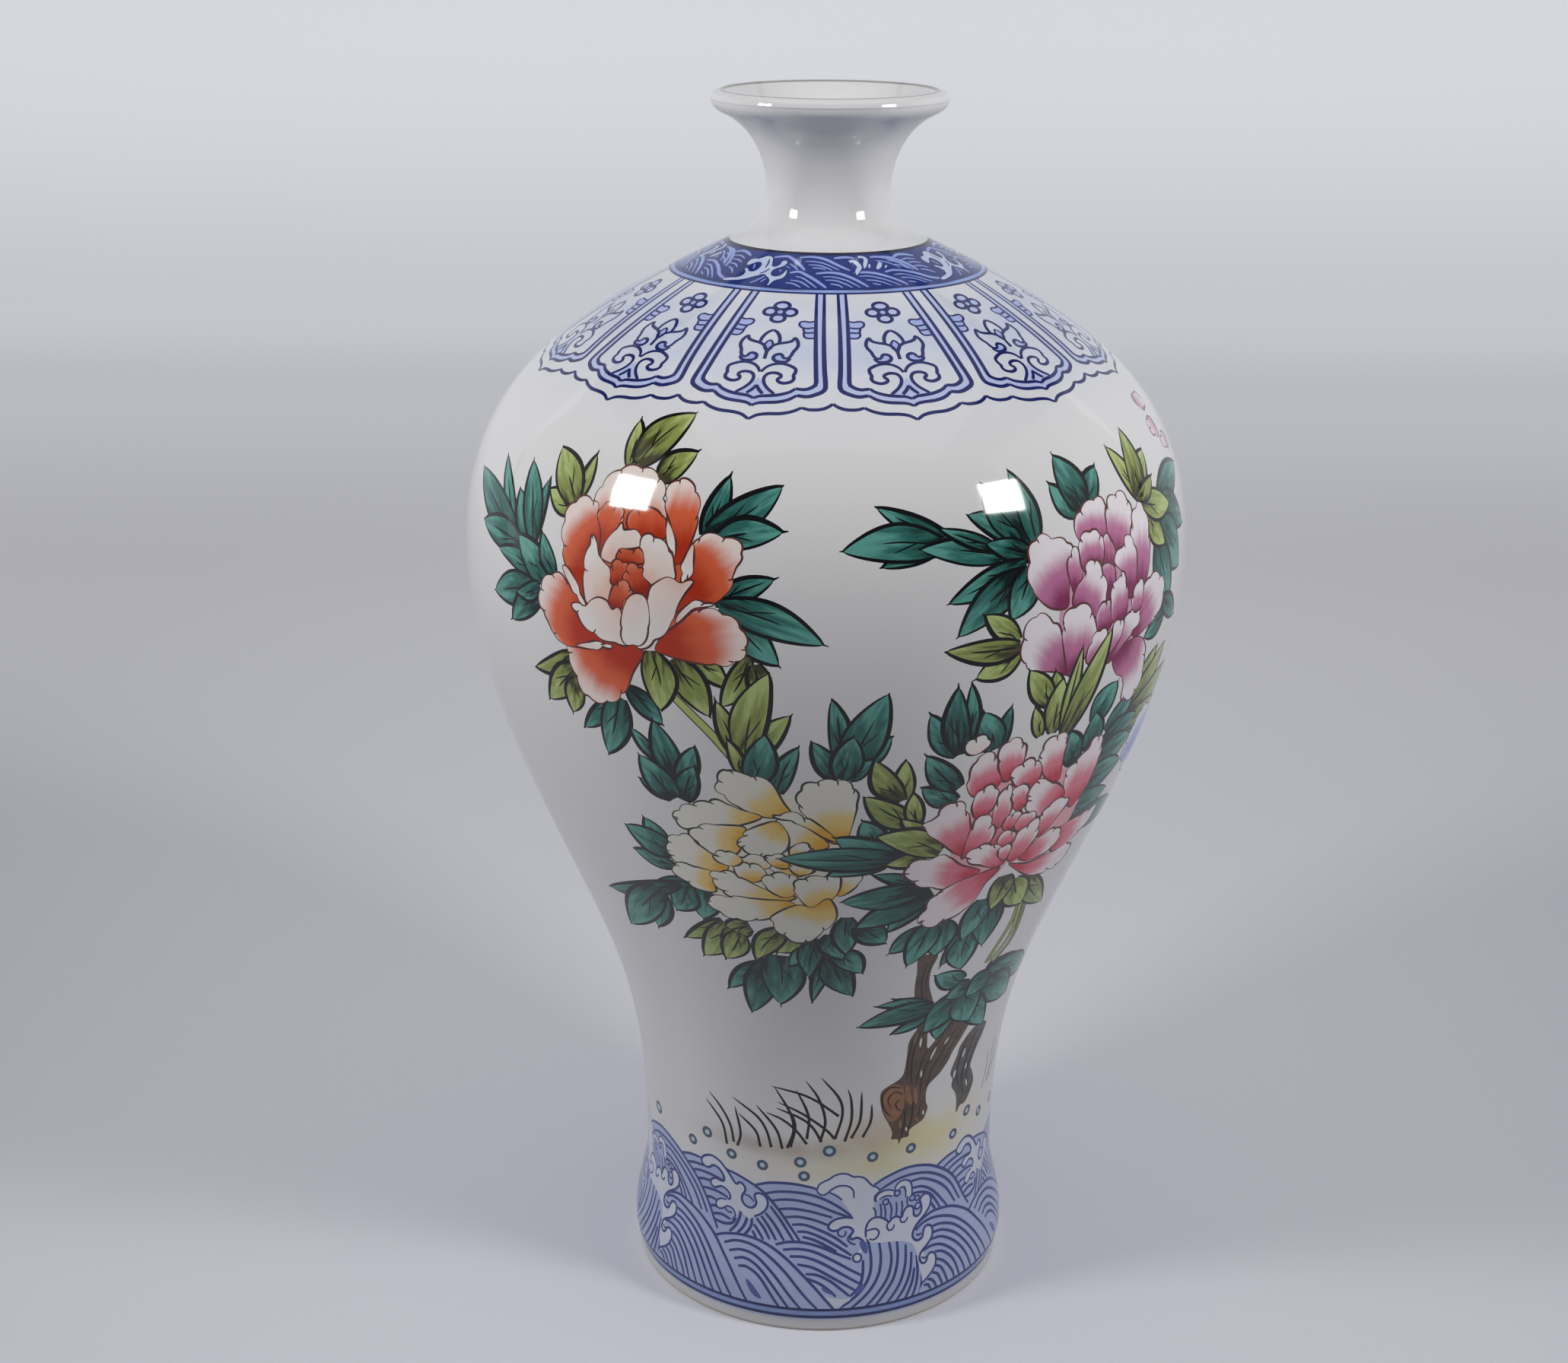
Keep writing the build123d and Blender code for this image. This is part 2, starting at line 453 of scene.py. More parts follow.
def lappet(canvas, x):
    """One hanging panel: a blue double border, a four-petal flower, side tabs and a lotus on two volutes."""
    grounds = (
        (smooth_run(lappet_outer, lappet_outer_foot), "lappet_wash"),
        (smooth_run(lappet_inner, lappet_inner_foot), "glaze"),
        (spade_ground, "lappet_wash"),
        (smooth_run(lotus_bud), "tab_wash"),
    )
    for half, pigment in grounds:
        canvas.fill(shifted(closed_half(half), x), pigment)
    for flip in (list, mirrored):
        for layer in tab_layers:
            canvas.fill(shifted(flip(smooth_run(layer)), x), "tab_wash")
            canvas.brush(shifted(flip(layer), x), fine_line, "cobalt", taper=(0.9, 0.9), step=0.6)
        canvas.fill(shifted(flip(smooth_run(lotus_curl)), x), "tab_wash")
        for half, width, taper, step in lappet_strokes:
            canvas.brush(shifted(flip(half), x), width, "cobalt", taper, step)
    canvas.brush(shifted(lotus_stem, x), line_width, "cobalt", step=bud_step)
    lappet_flower(canvas, x, flower_run)


# Waves round the foot: four like repeats. A wave is its ground and its lines, foam is its edge and its back
wave_line = 0.9
foam_line = 0.85 * wave_line
wave_low = 7.0                  # run at which the waves stop above the foot rings
wave_repeats = 4
# one repeat more than there is room for, so that both sides of the back line are covered
repeat_turns = [k * FULL_TURN / wave_repeats for k in range(-2, wave_repeats - 1)]
# rings of the foot: run, width, pigment
foot_rings = (
    (3.2, 0.9, "ring_pale"),
    (5.4, 2.4, "ring_mid"),
    (5.5, 1.0, "cobalt_pale"),
    (4.1, 1.1, "cobalt_dark"),
    (6.8, 0.9, "cobalt_dark"),
)
still_wave = (
    [(-22, 41), (-20, 42.4), (-15, 44), (-8, 44.6), (-2, 43.8), (4, 42), (8, 39), (12, 33.4), (14, 26),
     (10, 22), (0, 24), (-8, 26)],
    [[(-20, 42.4), (-15, 44), (-8, 44.5), (-2, 43.7), (0, 43)],
     [(-17, 40.2), (-13, 41.4), (-8, 41.9), (-3, 41.5), (2, 40), (7, 37.2), (11.4, 33.7)],
     [(-15, 38.2), (-11, 39.2), (-6, 39.3), (0, 38), (5, 36), (11, 33.6)],
     [(-12.4, 36), (-8, 36.6), (-3, 36.2), (2, 35), (4.6, 34.2)],
     [(-10.2, 33.7), (-6, 34.2), (-1, 33.4), (3.4, 31.8)],
     [(-8, 31.6), (-4, 31.8), (1, 30.2), (5.6, 28), (9.4, 25.2)],
     [(-6.4, 29.6), (-3, 29.6), (2, 27.8), (7, 25), (10.6, 22.6)],
     [(-4.6, 28.2), (-1, 27.4), (3, 25.6), (6, 24)]])
crest_wave = (
    [(-52, 42), (-46, 44.8), (-40, 45.6), (-30, 45.2), (-19.5, 42), (-12.5, 36), (-5.5, 27), (-8, 23),
     (-34, 23), (-42, 34)],
    [[(-50, 43.4), (-45, 45), (-40.3, 45.5)], [(-47.4, 41.6), (-43, 42.9), (-38.4, 43.4)],
     [(-45.2, 39.8), (-41, 41.2), (-36, 41.5), (-31, 41)], [(-43, 37.8), (-39.6, 39), (-36.4, 39.4)],
     [(-41.2, 35.8), (-38, 36.6), (-34, 36.9), (-30, 36.2)], [(-39, 33.5), (-36.5, 34.2), (-34, 34)],
     [(-37.2, 31), (-35, 32), (-32.6, 31.8)], [(-35.6, 29.4), (-32, 30.2), (-28.6, 29.6)],
     [(-34.6, 28), (-31, 27.8), (-28, 28.6), (-26.6, 30.4)],
     [(-30, 45), (-26, 44.3), (-22, 43), (-19.5, 41.9), (-16.5, 40), (-12.5, 36), (-9, 31.5), (-5.5, 27)],
     [(-15, 36.6), (-12, 33), (-9, 29), (-7.4, 26.8)], [(-16.6, 34.2), (-13.6, 31), (-10.4, 26.6)],
     [(-18, 33), (-15.4, 30), (-12.9, 26.4)], [(-19.6, 32), (-17, 29.4), (-15, 26.4)],
     [(-20.4, 30), (-18.6, 28), (-17, 26)], [(-20.8, 28), (-19.4, 26.2)],
     [(-25, 35.4), (-25.1, 32), (-26.4, 28.6), (-28.6, 26)],
     [(-23, 34.6), (-22.8, 31.4), (-24, 28.4), (-26, 26)],
     [(-21.2, 32), (-21.2, 29.6), (-22.4, 27.4), (-24, 25.8)]])
round_wave = (
    [(17, 42.6), (22, 45.2), (29, 46.6), (36, 45.5), (42, 42.8), (48, 38.5), (52, 33.5), (56.5, 26),
     (52, 24), (34, 24), (18, 28), (17, 36)],
    [[(17.8, 43.3), (22, 45.2), (29, 46.6), (36, 45.5), (42, 42.8), (48, 38.5), (52, 33.5), (55, 28.6),
      (57, 25.6)],
     [(20, 41.4), (22.6, 42.6), (26, 43.7), (31, 44), (37, 42.8), (43, 39.8), (48, 35.5), (52.4, 29)],
     [(30.4, 41.8), (35, 41.5), (41, 38.6), (46, 34.5), (50, 29)],
     [(30.7, 39.5), (35, 39), (39.6, 36.2), (44, 31.6), (46, 29.2)],
     [(30.6, 37.8), (35, 37.2), (38.6, 35.4), (41.4, 32), (43, 29.4)],
     [(38.8, 32.6), (40.2, 30.8), (40.8, 29.6)]])
crest_foam = (
    [(-30.4, 36.2), (-29, 35.6), (-28.8, 37), (-30, 38.4), (-32, 39), (-33.4, 38.4), (-34.6, 37.8),
     (-36, 38.3), (-36.3, 39.6), (-34.4, 40.9), (-31.8, 40.7), (-30.9, 41.4), (-31.4, 43), (-33, 44.5),
     (-35, 44.8), (-36.6, 43.7), (-38.2, 43.3), (-39.8, 44.2), (-39.8, 45.6), (-38, 47), (-35.4, 47.7),
     (-32.6, 46.9), (-30.4, 45.2), (-28.8, 43.6), (-27.4, 41.9), (-26.4, 41.2), (-25.6, 42), (-24.6, 42),
     (-23.4, 40.8), (-23.6, 39.4), (-24.5, 38), (-24.5, 36.4), (-23.4, 35.2), (-21.8, 34.8), (-20.3, 35.5),
     (-19.6, 37), (-20.2, 38.6), (-19.8, 39.7), (-18.2, 40), (-16.5, 39.2), (-15.8, 37.4), (-16.5, 35.2),
     (-18.3, 33.5), (-20.4, 32.3)],
    [(-22, 31), (-24.4, 32.6), (-26.6, 33.6)])
crest_hook = [
    (-30.2, 35.2), (-32.4, 35), (-34.2, 33.6), (-34, 32.1), (-32.6, 31.7), (-31.2, 32.4), (-29.6, 33.4),
    (-27.6, 32.8), (-26.9, 31), (-28, 29.6), (-26.4, 31.4), (-26, 34), (-27.4, 35.6)]
crest_hook_edge = crest_hook[:10]
crest_details = [
    [(-37, 43.4), (-35.4, 44.6), (-33.4, 44.5), (-31.6, 43), (-31, 41)],
    [(-23.6, 38.6), (-22, 38.4), (-20.4, 37)], [(-31, 32.4), (-29.4, 31.6), (-28, 31.8)]]
main_foam = (
    [(11.3, 33.6), (8.6, 34), (5.8, 33.6), (3.9, 32.4), (3.4, 31), (4.6, 30.1), (6.4, 30.2), (8, 31),
     (10, 30.9), (11.3, 29.7), (10.4, 28.4), (10.6, 27.2), (12.4, 27.6), (14, 26.8), (15.2, 25.4), (16, 27)],
    [(18.4, 32), (18.7, 33.4), (18.4, 34.8), (17.7, 36.2), (18.3, 37.8), (18, 39.4), (19, 40.5),
     (19.9, 41.2), (18.7, 42.5), (17.2, 43.2), (16.2, 44.3), (14.8, 45.8), (13, 46.6), (11, 46.7),
     (9.6, 47.6), (7.6, 48), (5.2, 47.5), (3.6, 46.4), (1.8, 45.6), (0.2, 44.4), (-0.3, 42.7), (0.8, 41.4),
     (2.6, 41.5), (4, 42.5), (7.4, 39.6), (9.6, 36.6)])
foam_top = main_foam[1][4:21][::-1]
main_details = [
    [(-0.3, 42.7), (0.8, 41.4), (2.6, 41.6), (4, 42.8), (5.6, 43.8), (7.6, 44.2), (9.8, 43.7), (11.2, 42.2),
     (11.3, 40)],
    [(3.4, 42.2), (5.6, 41.2), (7.7, 39.6)], [(17.7, 36.2), (18.5, 34.8), (18.5, 33)],
    [(6.6, 30.2), (6.4, 29), (7.6, 28.2), (8.9, 28.8), (8.8, 29.9)],
    [(10.2, 28.6), (9.4, 27.4), (10.4, 26.2), (12, 25.6)]]
deep_pools = [
    [(13.2, 26.4), (14.6, 26.4), (15.8, 24.4), (15.3, 22.6), (14, 23.6), (13.4, 25)],
    [(13.6, 14.2), (14.4, 13.2), (13, 11.8), (11, 11.2), (12, 12.6)],
    [(1.6, 14), (4, 12.4), (5.4, 11.4), (3.6, 11.8), (1.6, 13)],
    [(-21.6, 14), (-19, 12.2), (-16.4, 8.8), (-19, 9.4), (-21, 12)]]
# curls between the great wave and the foam below it, with their widths or radii
hook_claws = [
    ([(24.6, 39.3), (22.6, 40), (20.6, 39.8), (19.3, 38.9), (19.4, 38)], 1.3),
    ([(30, 37), (30, 39.4), (29.2, 41.3), (27.4, 41.8), (26, 41), (25.8, 40)], 1.6)]
hook_eyes = [
    ((25.8, 39.2), 0.9), ((21.9, 37.2), 0.9), ((31.4, 36.3), 0.9), ((33.3, 35.8), 0.8), ((33.6, 33.2), 1)]
grill_lines = [
    [(20, 37), (20.4, 35), (20.4, 32.6)], [(21.5, 36), (21.9, 34), (21.8, 32)],
    [(23.3, 36.8), (24, 34.4), (23.6, 31.6)], [(25.6, 36.4), (25.8, 33.8), (25.4, 31.8)],
    [(27.5, 36.4), (27.8, 34.2), (27.4, 32)], [(29.6, 37.4), (29.5, 35.6), (29.8, 34)]]
side_wave = (
    [(-13, 25.2), (-9, 26.4), (-4, 26.6), (1, 25.6), (6, 23.5), (11, 22), (15, 24), (16.6, 22), (16.2, 16),
     (13.6, 12.2), (9.6, 9.6), (4, 8), (-2, 9), (-8, 18)],
    [[(-13, 25.2), (-9, 26.4), (-4, 26.5), (1, 25.4), (6, 23.4), (10.4, 21.6)],
     [(-10.6, 24), (-6, 24.6), (-1, 24), (5, 21.4), (10, 18.6), (13.6, 16.6)],
     [(-8.4, 22.3), (-4, 22.4), (1, 21), (7, 17.8), (13, 14.2)],
     [(-6, 20.2), (-1, 19.4), (5, 16.4), (11.6, 12.4)],
     [(-3.4, 17.6), (0, 17.4), (4, 15.6), (8, 12.4), (9.6, 10.9)],
     [(-3, 16.4), (1, 14.8), (4, 12.6), (5.6, 11)], [(14.1, 21), (13.8, 17), (12.6, 13.4), (9.8, 10.8)]])
side_eye = ((12.3, 21.8), 1.2)
crescent = [(2.2, 11.2), (4.2, 10.6), (7, 10.2), (10.2, 10.1), (8, 8.6), (6, 7), (4.2, 9)]
falling_water = (
    [(15.4, 28), (16.5, 22), (16.1, 17), (13.6, 12.6), (10.4, 9.6), (6, 6.4), (34, 6.4), (34.6, 10.6),
     (34, 14), (33.4, 18), (31.6, 24), (22, 28)],
    [[(15.6, 28), (16.6, 22), (16.1, 17), (13.7, 12.8), (10.4, 9.8), (6, 6.8)],
     [(19.5, 25.6), (19.8, 21), (18.6, 16), (15.4, 11.5), (10, 6.8)],
     [(22.8, 25.2), (23.2, 20), (21.6, 15), (18, 10.4), (14.4, 6.8)],
     [(25.5, 25.8), (25.3, 20), (23.6, 14.6), (20.2, 10), (17.4, 6.8)],
     [(28.4, 23), (27.6, 17.4), (25.2, 12), (21, 6.8)], [(30.1, 20.4), (29.2, 15.4), (27, 10.8), (24, 6.8)],
     [(30.6, 15.6), (29.4, 11.4), (27, 6.8)], [(31.8, 19), (31.6, 14), (30.8, 10.2), (29.4, 6.8)],
     [(33.2, 15), (32.9, 10.6), (32, 6.8)]])
front_wave = (
    [(-33.5, 23.6), (-30, 25), (-25, 26), (-20, 25.9), (-15, 24.6), (-10, 21.9), (-5, 17.9), (0, 13),
     (5.4, 6.4), (-22, 6.4), (-30, 18)],
    [[(-33.5, 23.6), (-30, 25), (-25, 26), (-20, 25.9), (-15, 24.6), (-10, 21.9), (-5, 17.9), (0, 13),
      (5.2, 6.8)],
     [(-30, 22.4), (-26, 24), (-21, 24), (-16, 22.2), (-10, 18), (-4, 11.5), (0.4, 6.8)],
     [(-28, 20.6), (-24, 21.8), (-19, 21), (-13, 16.5), (-8, 10.8), (-4.6, 6.8)],
     [(-26, 18.8), (-22.5, 19.7), (-18, 18), (-13, 13), (-8.2, 6.8)],
     [(-24.4, 17), (-21.5, 17.3), (-17, 14.8), (-11, 6.8)]])
lobe_wave = (
    [(31, 25), (33, 27.3), (36, 28.9), (40, 29.7), (46, 28.9), (51, 27), (56, 23.8), (60, 19.6), (64, 14.6),
     (69, 6.4), (34.4, 6.4), (34.6, 12), (34.2, 19)],
    [[(31.9, 26.4), (33.6, 27.9), (36.4, 29), (40, 29.7), (46, 28.9), (51, 27), (56, 23.8), (60, 19.6),
      (64, 14.6), (69, 6.8)],
     [(32.4, 26), (35, 27.4), (39, 27.8), (44, 26.8), (49.6, 24.2), (55, 19.5), (59.6, 13.6), (64, 6.8)],
     [(38.6, 25.4), (42.6, 25), (48, 22.8), (53, 18.4), (57.4, 12.4), (60.6, 6.8)],
     [(38.7, 23.6), (43, 23), (48, 20.2), (52, 16), (55.4, 11), (57.6, 6.8)],
     [(37.8, 21.9), (42, 21.3), (47, 18.2), (51, 13.6), (54.4, 6.8)],
     [(34.2, 19.6), (38, 20), (42, 18.9), (46.4, 15.4), (49.4, 11), (51.2, 6.8)],
     [(38.6, 18), (42, 16.8), (45.6, 13.2), (48.4, 6.8)], [(38.9, 15.8), (42, 13.8), (45, 9.8), (46, 6.8)],
     [(38.2, 14), (40.6, 12.4), (43.2, 6.8)], [(36.9, 12.2), (39, 11), (41, 6.8)],
     [(35, 10.8), (37, 9.8), (38.6, 6.8)], [(33.6, 9.2), (35, 9.2), (36.2, 7.4)]])
lobe_foam = (
    [(15.3, 27.4), (15.3, 29.6), (15.9, 31.3), (17.2, 32.6), (19, 32.9), (20.8, 32.4), (22.4, 31.3),
     (23.1, 30.6), (24.3, 31.6), (26, 31.8), (27.5, 31), (28.1, 32.4), (29.3, 33.8), (31, 33.9), (32, 32.7),
     (32, 31), (33, 30.1), (34.4, 30.5), (35.1, 31.9), (34.8, 33.6), (34.4, 34.8), (35.3, 35.9),
     (36.8, 36.2), (38.4, 35.2), (38.9, 33.4), (38.2, 31.5), (36.2, 29.7), (33.6, 28.1), (31.9, 26.6),
     (31.1, 25), (31.6, 23.6), (33, 23), (34.5, 23.4), (35.1, 24.7), (35.8, 25.9), (37.2, 26.3),
     (38.4, 25.6), (38.8, 24.1), (38, 22.3), (36, 20.8), (34, 19.7), (32.9, 18.5), (32.8, 17.1), (33.7, 16),
     (35, 16.2), (35.6, 17.4), (36.7, 18.2), (38.2, 17.8), (38.8, 16.3), (38.3, 14.3), (36.8, 12.6),
     (34.6, 11.1), (33.2, 10.2)],
    [(33, 12), (32.6, 14.6), (32, 17.4), (32, 20), (30.6, 22.8), (28, 24), (24, 24.8), (19.5, 25.2),
     (16.6, 25.8)])
lobe_details = [
    [(15.6, 29.2), (17.2, 29.5), (18.8, 29.4), (19.7, 28.3), (19, 26.9), (17.6, 26.3), (16.4, 26.8)],
    [(22.9, 30.6), (22.3, 29.4), (23, 28.2), (24.4, 28.4), (24.9, 29.6)],
    [(28, 32.2), (27, 30.8), (27.6, 29.6), (29, 29.6), (29.8, 30.8)],
    [(32.4, 24.9), (33.4, 24.4), (34.4, 24.8)], [(33.6, 18), (34.4, 17.2), (35.2, 17.6)]]


def eye(canvas, x, centre, size, pigment):
    """A small round curl."""
    centre = (centre[0] + x, centre[1])
    canvas.fill(disc(centre, size, count=12), pigment)
    canvas.brush(disc(centre, size, count=8), fine_line, "wave_blue", step=0.5, closed=True)


def wave_layer(canvas, wave):
    """One wave in all its repeats."""
    ground, strokes = wave
    for x in repeat_turns:
        patch(canvas, ground, "cobalt_wash", x)
        lines(canvas, x, strokes, "wave_blue", wave_line)


def foam_layer(canvas, foam, details):
    """White foam in all its repeats: its edge is drawn, its back runs out into the water."""
    edge, back = foam
    for x in repeat_turns:
        flat, scale = in_mm(edge, x)
        drawn = smooth(flat, step=0.6)
        inner = np.array(shifted(back, x), float) * scale
        canvas.fill(np.concatenate([drawn, inner]) / scale, "foam")
        canvas.fill(ribbon(drawn, foam_line, taper=(0.8, 0.8)) / scale, "wave_blue")
        lines(canvas, x, details, "wave_blue", fine_line)


def hooks(canvas, x):
    """The small curls between the great wave and the foam below it."""
    for path, size in hook_claws:
        claw(canvas, x, path, size, fine_line, "wave_blue", "foam", ends=(0.5, 0.3))
    for centre, size in hook_eyes:
        eye(canvas, x, centre, size, "cobalt_wash")
    lines(canvas, x, grill_lines, "wave_blue", fine_line)


def wave_band(canvas):
    """The waves, laid from the back to the front, and the rings under them."""
    for wave in (still_wave, crest_wave):
        wave_layer(canvas, wave)
    for x in repeat_turns:
        patch(canvas, crest_hook, "foam", x)
        lines(canvas, x, [crest_hook_edge], "wave_blue", fine_line)
    foam_layer(canvas, crest_foam, crest_details)
    wave_layer(canvas, round_wave)
    foam_layer(canvas, main_foam, main_details + [foam_top])
    for x in repeat_turns:
        hooks(canvas, x)
    for wave in (side_wave, falling_water, front_wave):
        wave_layer(canvas, wave)
    for x in repeat_turns:
        patch(canvas, crescent, "foam", x)
        for pool in deep_pools:
            patch(canvas, pool, "wave_pool", x)
        eye(canvas, x, *side_eye, "foam")
    wave_layer(canvas, lobe_wave)
    foam_layer(canvas, lobe_foam, lobe_details)
    ring(canvas, 0, wave_low, "glaze")
    for run, width, pigment in foot_rings:
        ring(canvas, run - width / 2, run + width / 2, pigment)


# Drops of spray over the waves: degrees, run, radius
bubbles = [
    (-63, 52.2, 1.5), (-43.5, 50.2, 1.2), (-37, 54.8, 1.3), (-28, 50.5, 1.2), (-17.5, 49.2, 1.2),
    (-5.5, 51.6, 1.3), (-4.3, 47.2, 1.2), (3.4, 55.4, 1.4), (17, 52.4, 1.2), (30, 52.6, 1.2),
    (47.5, 51.6, 1.2), (54, 56.6, 1.3), (62.5, 52.8, 1.2), (74, 52, 1.2), (110, 53, 1.3), (138, 50.6, 1.2),
    (152, 54.6, 1.2), (171, 51.8, 1.3), (-168, 50.4, 1.2), (-149, 55, 1.3), (-127, 51.4, 1.2),
    (-101, 53.4, 1.3)]


def spray_bubbles(canvas):
    """Round drops, each with an outline."""
    for x, y, size in bubbles:
        canvas.fill(disc((x, y), size, count=16), "bubble")
        canvas.brush(disc((x, y), size, count=12), line_width, "bubble_line", step=0.5, closed=True)


# Collar waves, in pale strokes on a deep ground: four like repeats
collar_repeats = 4
collar_high = outer_run[-1]
collar_overlap = 1              # how far the collar is drawn beyond the edge where the skin is cut
collar_top_ring = 1.1
collar_bold_line = 0.95
collar_fine_line = 0.5
collar_foam_line = 0.4
collar_curl_line = 0.45
collar_claw_line = 0.25
# rings at the lower edge: low run, high run, pigment
collar_edges = ((316.2, 316.9, "cobalt"), (316.9, 317.9, "cobalt_pale"), (317.9, 318.5, "cobalt_dark"))
collar_bold = [
    [(-14.5, 331.1), (-9, 331.6), (-4, 331.2), (0, 330.2), (5, 328), (9.6, 325.9)],
    [(-28, 330.4), (-25, 331), (-21, 331.3), (-17, 330), (-13, 328), (-10, 325.8)],
    [(22, 331.2), (26, 331.2), (31, 330.2), (35, 328.2), (38, 325.6)],
    [(3, 331.1), (8, 331.5), (13, 331.3)], [(34.6, 330.5), (39, 331.4), (44, 331), (48, 330)],
    [(-63, 331.2), (-58, 330.8), (-54, 329.2), (-50.6, 326.8), (-48.8, 324.2)],
    [(-16, 324.5), (-12.5, 325.2), (-9, 324), (-5, 322), (-2, 320), (-0.6, 318.8)],
    [(-5, 324.6), (0, 325.1), (5, 324.6), (9.6, 322.8), (13, 320.6), (14.9, 319)],
    [(11, 324.9), (16, 325), (21, 324.2), (26, 322.2), (29, 320.4), (30.6, 319)],
    [(24.8, 324.7), (29, 325.3), (34, 324.6), (39, 323), (43, 321), (47, 319.9), (51, 319.4), (55, 320.2)]]
collar_fine = [
    [(-11, 329.6), (-6, 329.6), (-1, 328.6), (5, 326.2)], [(-9, 328.2), (-4, 328), (0, 326.8), (2, 326)],
    [(-7, 327), (-3, 326.8), (-1, 326.2)], [(-18, 328.3), (-15, 327), (-13, 325.8)],
    [(-19, 327.2), (-17, 326.4)], [(24, 329.6), (28, 329), (31.6, 327.4), (33.6, 325.8)],
    [(37.4, 329), (42, 329.4), (46.5, 328.5)], [(40, 327.7), (44, 327.6), (47.4, 326.8)],
    [(41, 326), (45, 325.8), (48, 324.6)], [(43, 324.4), (46, 323.8), (48.6, 322.2)],
    [(-60, 329.4), (-56, 328.4), (-52.6, 326.4), (-50.8, 324.6)],
    [(-58, 327.6), (-55, 326.8), (-52.6, 325.2)], [(-13, 323.2), (-10, 322.6), (-6.5, 320.6), (-4, 318.8)],
    [(-14.6, 321.6), (-11, 321.2), (-8, 319.8), (-6.6, 318.8)], [(-16, 320.4), (-13, 320.2), (-9.8, 318.8)],
    [(-2, 323.3), (2, 323.3), (7, 322), (10.4, 320), (11.8, 318.9)],
    [(-1, 322), (3, 321.8), (7, 320.2), (9, 318.9)], [(1, 320.5), (4, 319.9), (5.4, 318.9)],
    [(12.6, 323.4), (17, 323.4), (22, 322), (26, 320), (27.6, 318.9)],
    [(15, 321.9), (19, 321.4), (22.6, 320), (24, 319)], [(17, 320.4), (20, 319.6)],
    [(28, 323.4), (32, 323.4), (36.4, 322), (40, 320.2), (42, 319)],
    [(30, 322.1), (34, 321.6), (37.4, 320.2), (39, 319)], [(32, 320.4), (35, 319.6)],
    [(-25.4, 323), (-27, 321.4), (-29.8, 319.2)], [(-24.6, 321.6), (-26, 320)], [(-35, 327), (-33.6, 325)],
    [(-21, 325.6), (-20.2, 324.6)]]
collar_foam = [
    (-30, 330.9), (-28, 330.1), (-26.7, 328.4), (-25.5, 326.8), (-24, 326.8), (-22.6, 327.8),
    (-22.8, 328.9), (-21.8, 329.6), (-20, 329.5), (-19.2, 328.6), (-19.8, 327.4), (-21.4, 326.5),
    (-23, 325.9), (-24, 325), (-23.8, 323.8), (-22.6, 322.9), (-20.8, 322.9), (-19.2, 323.8),
    (-18.6, 325.2), (-18, 325.9), (-17.2, 324.8), (-17.2, 323), (-18.4, 321.8), (-20.4, 321.1),
    (-21.2, 320.1), (-21.7, 318.9), (-22.9, 318.8), (-22.8, 320.3), (-23.8, 321.7), (-25.4, 322.4),
    (-26.8, 323.2), (-28.2, 322.6), (-30, 322), (-32.2, 320.9), (-35, 319.9), (-38.5, 319.3),
    (-41.5, 318.9), (-43.4, 319.5), (-41, 320.4), (-38.4, 320.8), (-36.6, 321.4), (-35.8, 322.4),
    (-36.4, 323.5), (-37.8, 324.3), (-37.8, 325.1), (-36.2, 325), (-34.6, 324.1), (-32.9, 323.9),
    (-31.6, 324.8), (-31.3, 326.3), (-32.2, 327.5), (-33.8, 327.8), (-35.6, 327.3), (-37, 326.4),
    (-38.6, 326), (-39.8, 327), (-39.7, 328.6), (-38, 329.3), (-35.6, 329.4), (-34, 330.2), (-32.4, 330.9)]
collar_curls = [
    [(-26, 325.6), (-27, 324.4), (-28.9, 323.3)], [(-29.6, 329.4), (-28.6, 327.6), (-28.4, 326)]]
collar_claws = [
    ([(10.4, 329.5), (12.2, 329.8), (14, 328.6), (14.2, 327), (12.8, 325.6), (12, 324)], 1.2),
    ([(15.6, 331.5), (18.2, 331.3), (19, 330.2), (17.6, 328.4), (16.4, 326.6)], 1),
    ([(25.6, 328.8), (24, 327.4), (22, 326)], 1.1), ([(19.6, 328.2), (18.6, 326.6)], 0.5),
    ([(27.6, 327.4), (26, 326.2)], 0.5)]


def collar_band(canvas):
    """Deep blue collar with two rows of waves and white foam."""
    ring(canvas, collar_edges[0][0], collar_high + collar_overlap, "cobalt_deep")
    for k in range(collar_repeats):
        x = k * FULL_TURN / collar_repeats - HALF_TURN
        for paths, width in ((collar_fine, collar_fine_line), (collar_bold, collar_bold_line)):
            for path in paths:
                canvas.brush(shifted(path, x), width, "cobalt_pale", taper=(0.6, 0.4), step=0.7)
        for path, size in collar_claws:
            claw(canvas, x, path, size, collar_claw_line, "cobalt_dark", "collar_foam", ends=(0.3, 0.12))
        flat, scale = in_mm(collar_foam, x)
        edge = smooth(flat, step=0.8, closed=True)
        canvas.fill(edge[:-1] / scale, "collar_foam")
        canvas.fill(ribbon(edge, collar_foam_line, closed=True) / scale, "cobalt_dark")
        lines(canvas, x, collar_curls, "cobalt_dark", collar_curl_line)
    for low, high, pigment in collar_edges:
        ring(canvas, low, high, pigment)
    ring(canvas, collar_high - collar_top_ring, collar_high + collar_overlap, "cobalt_night")


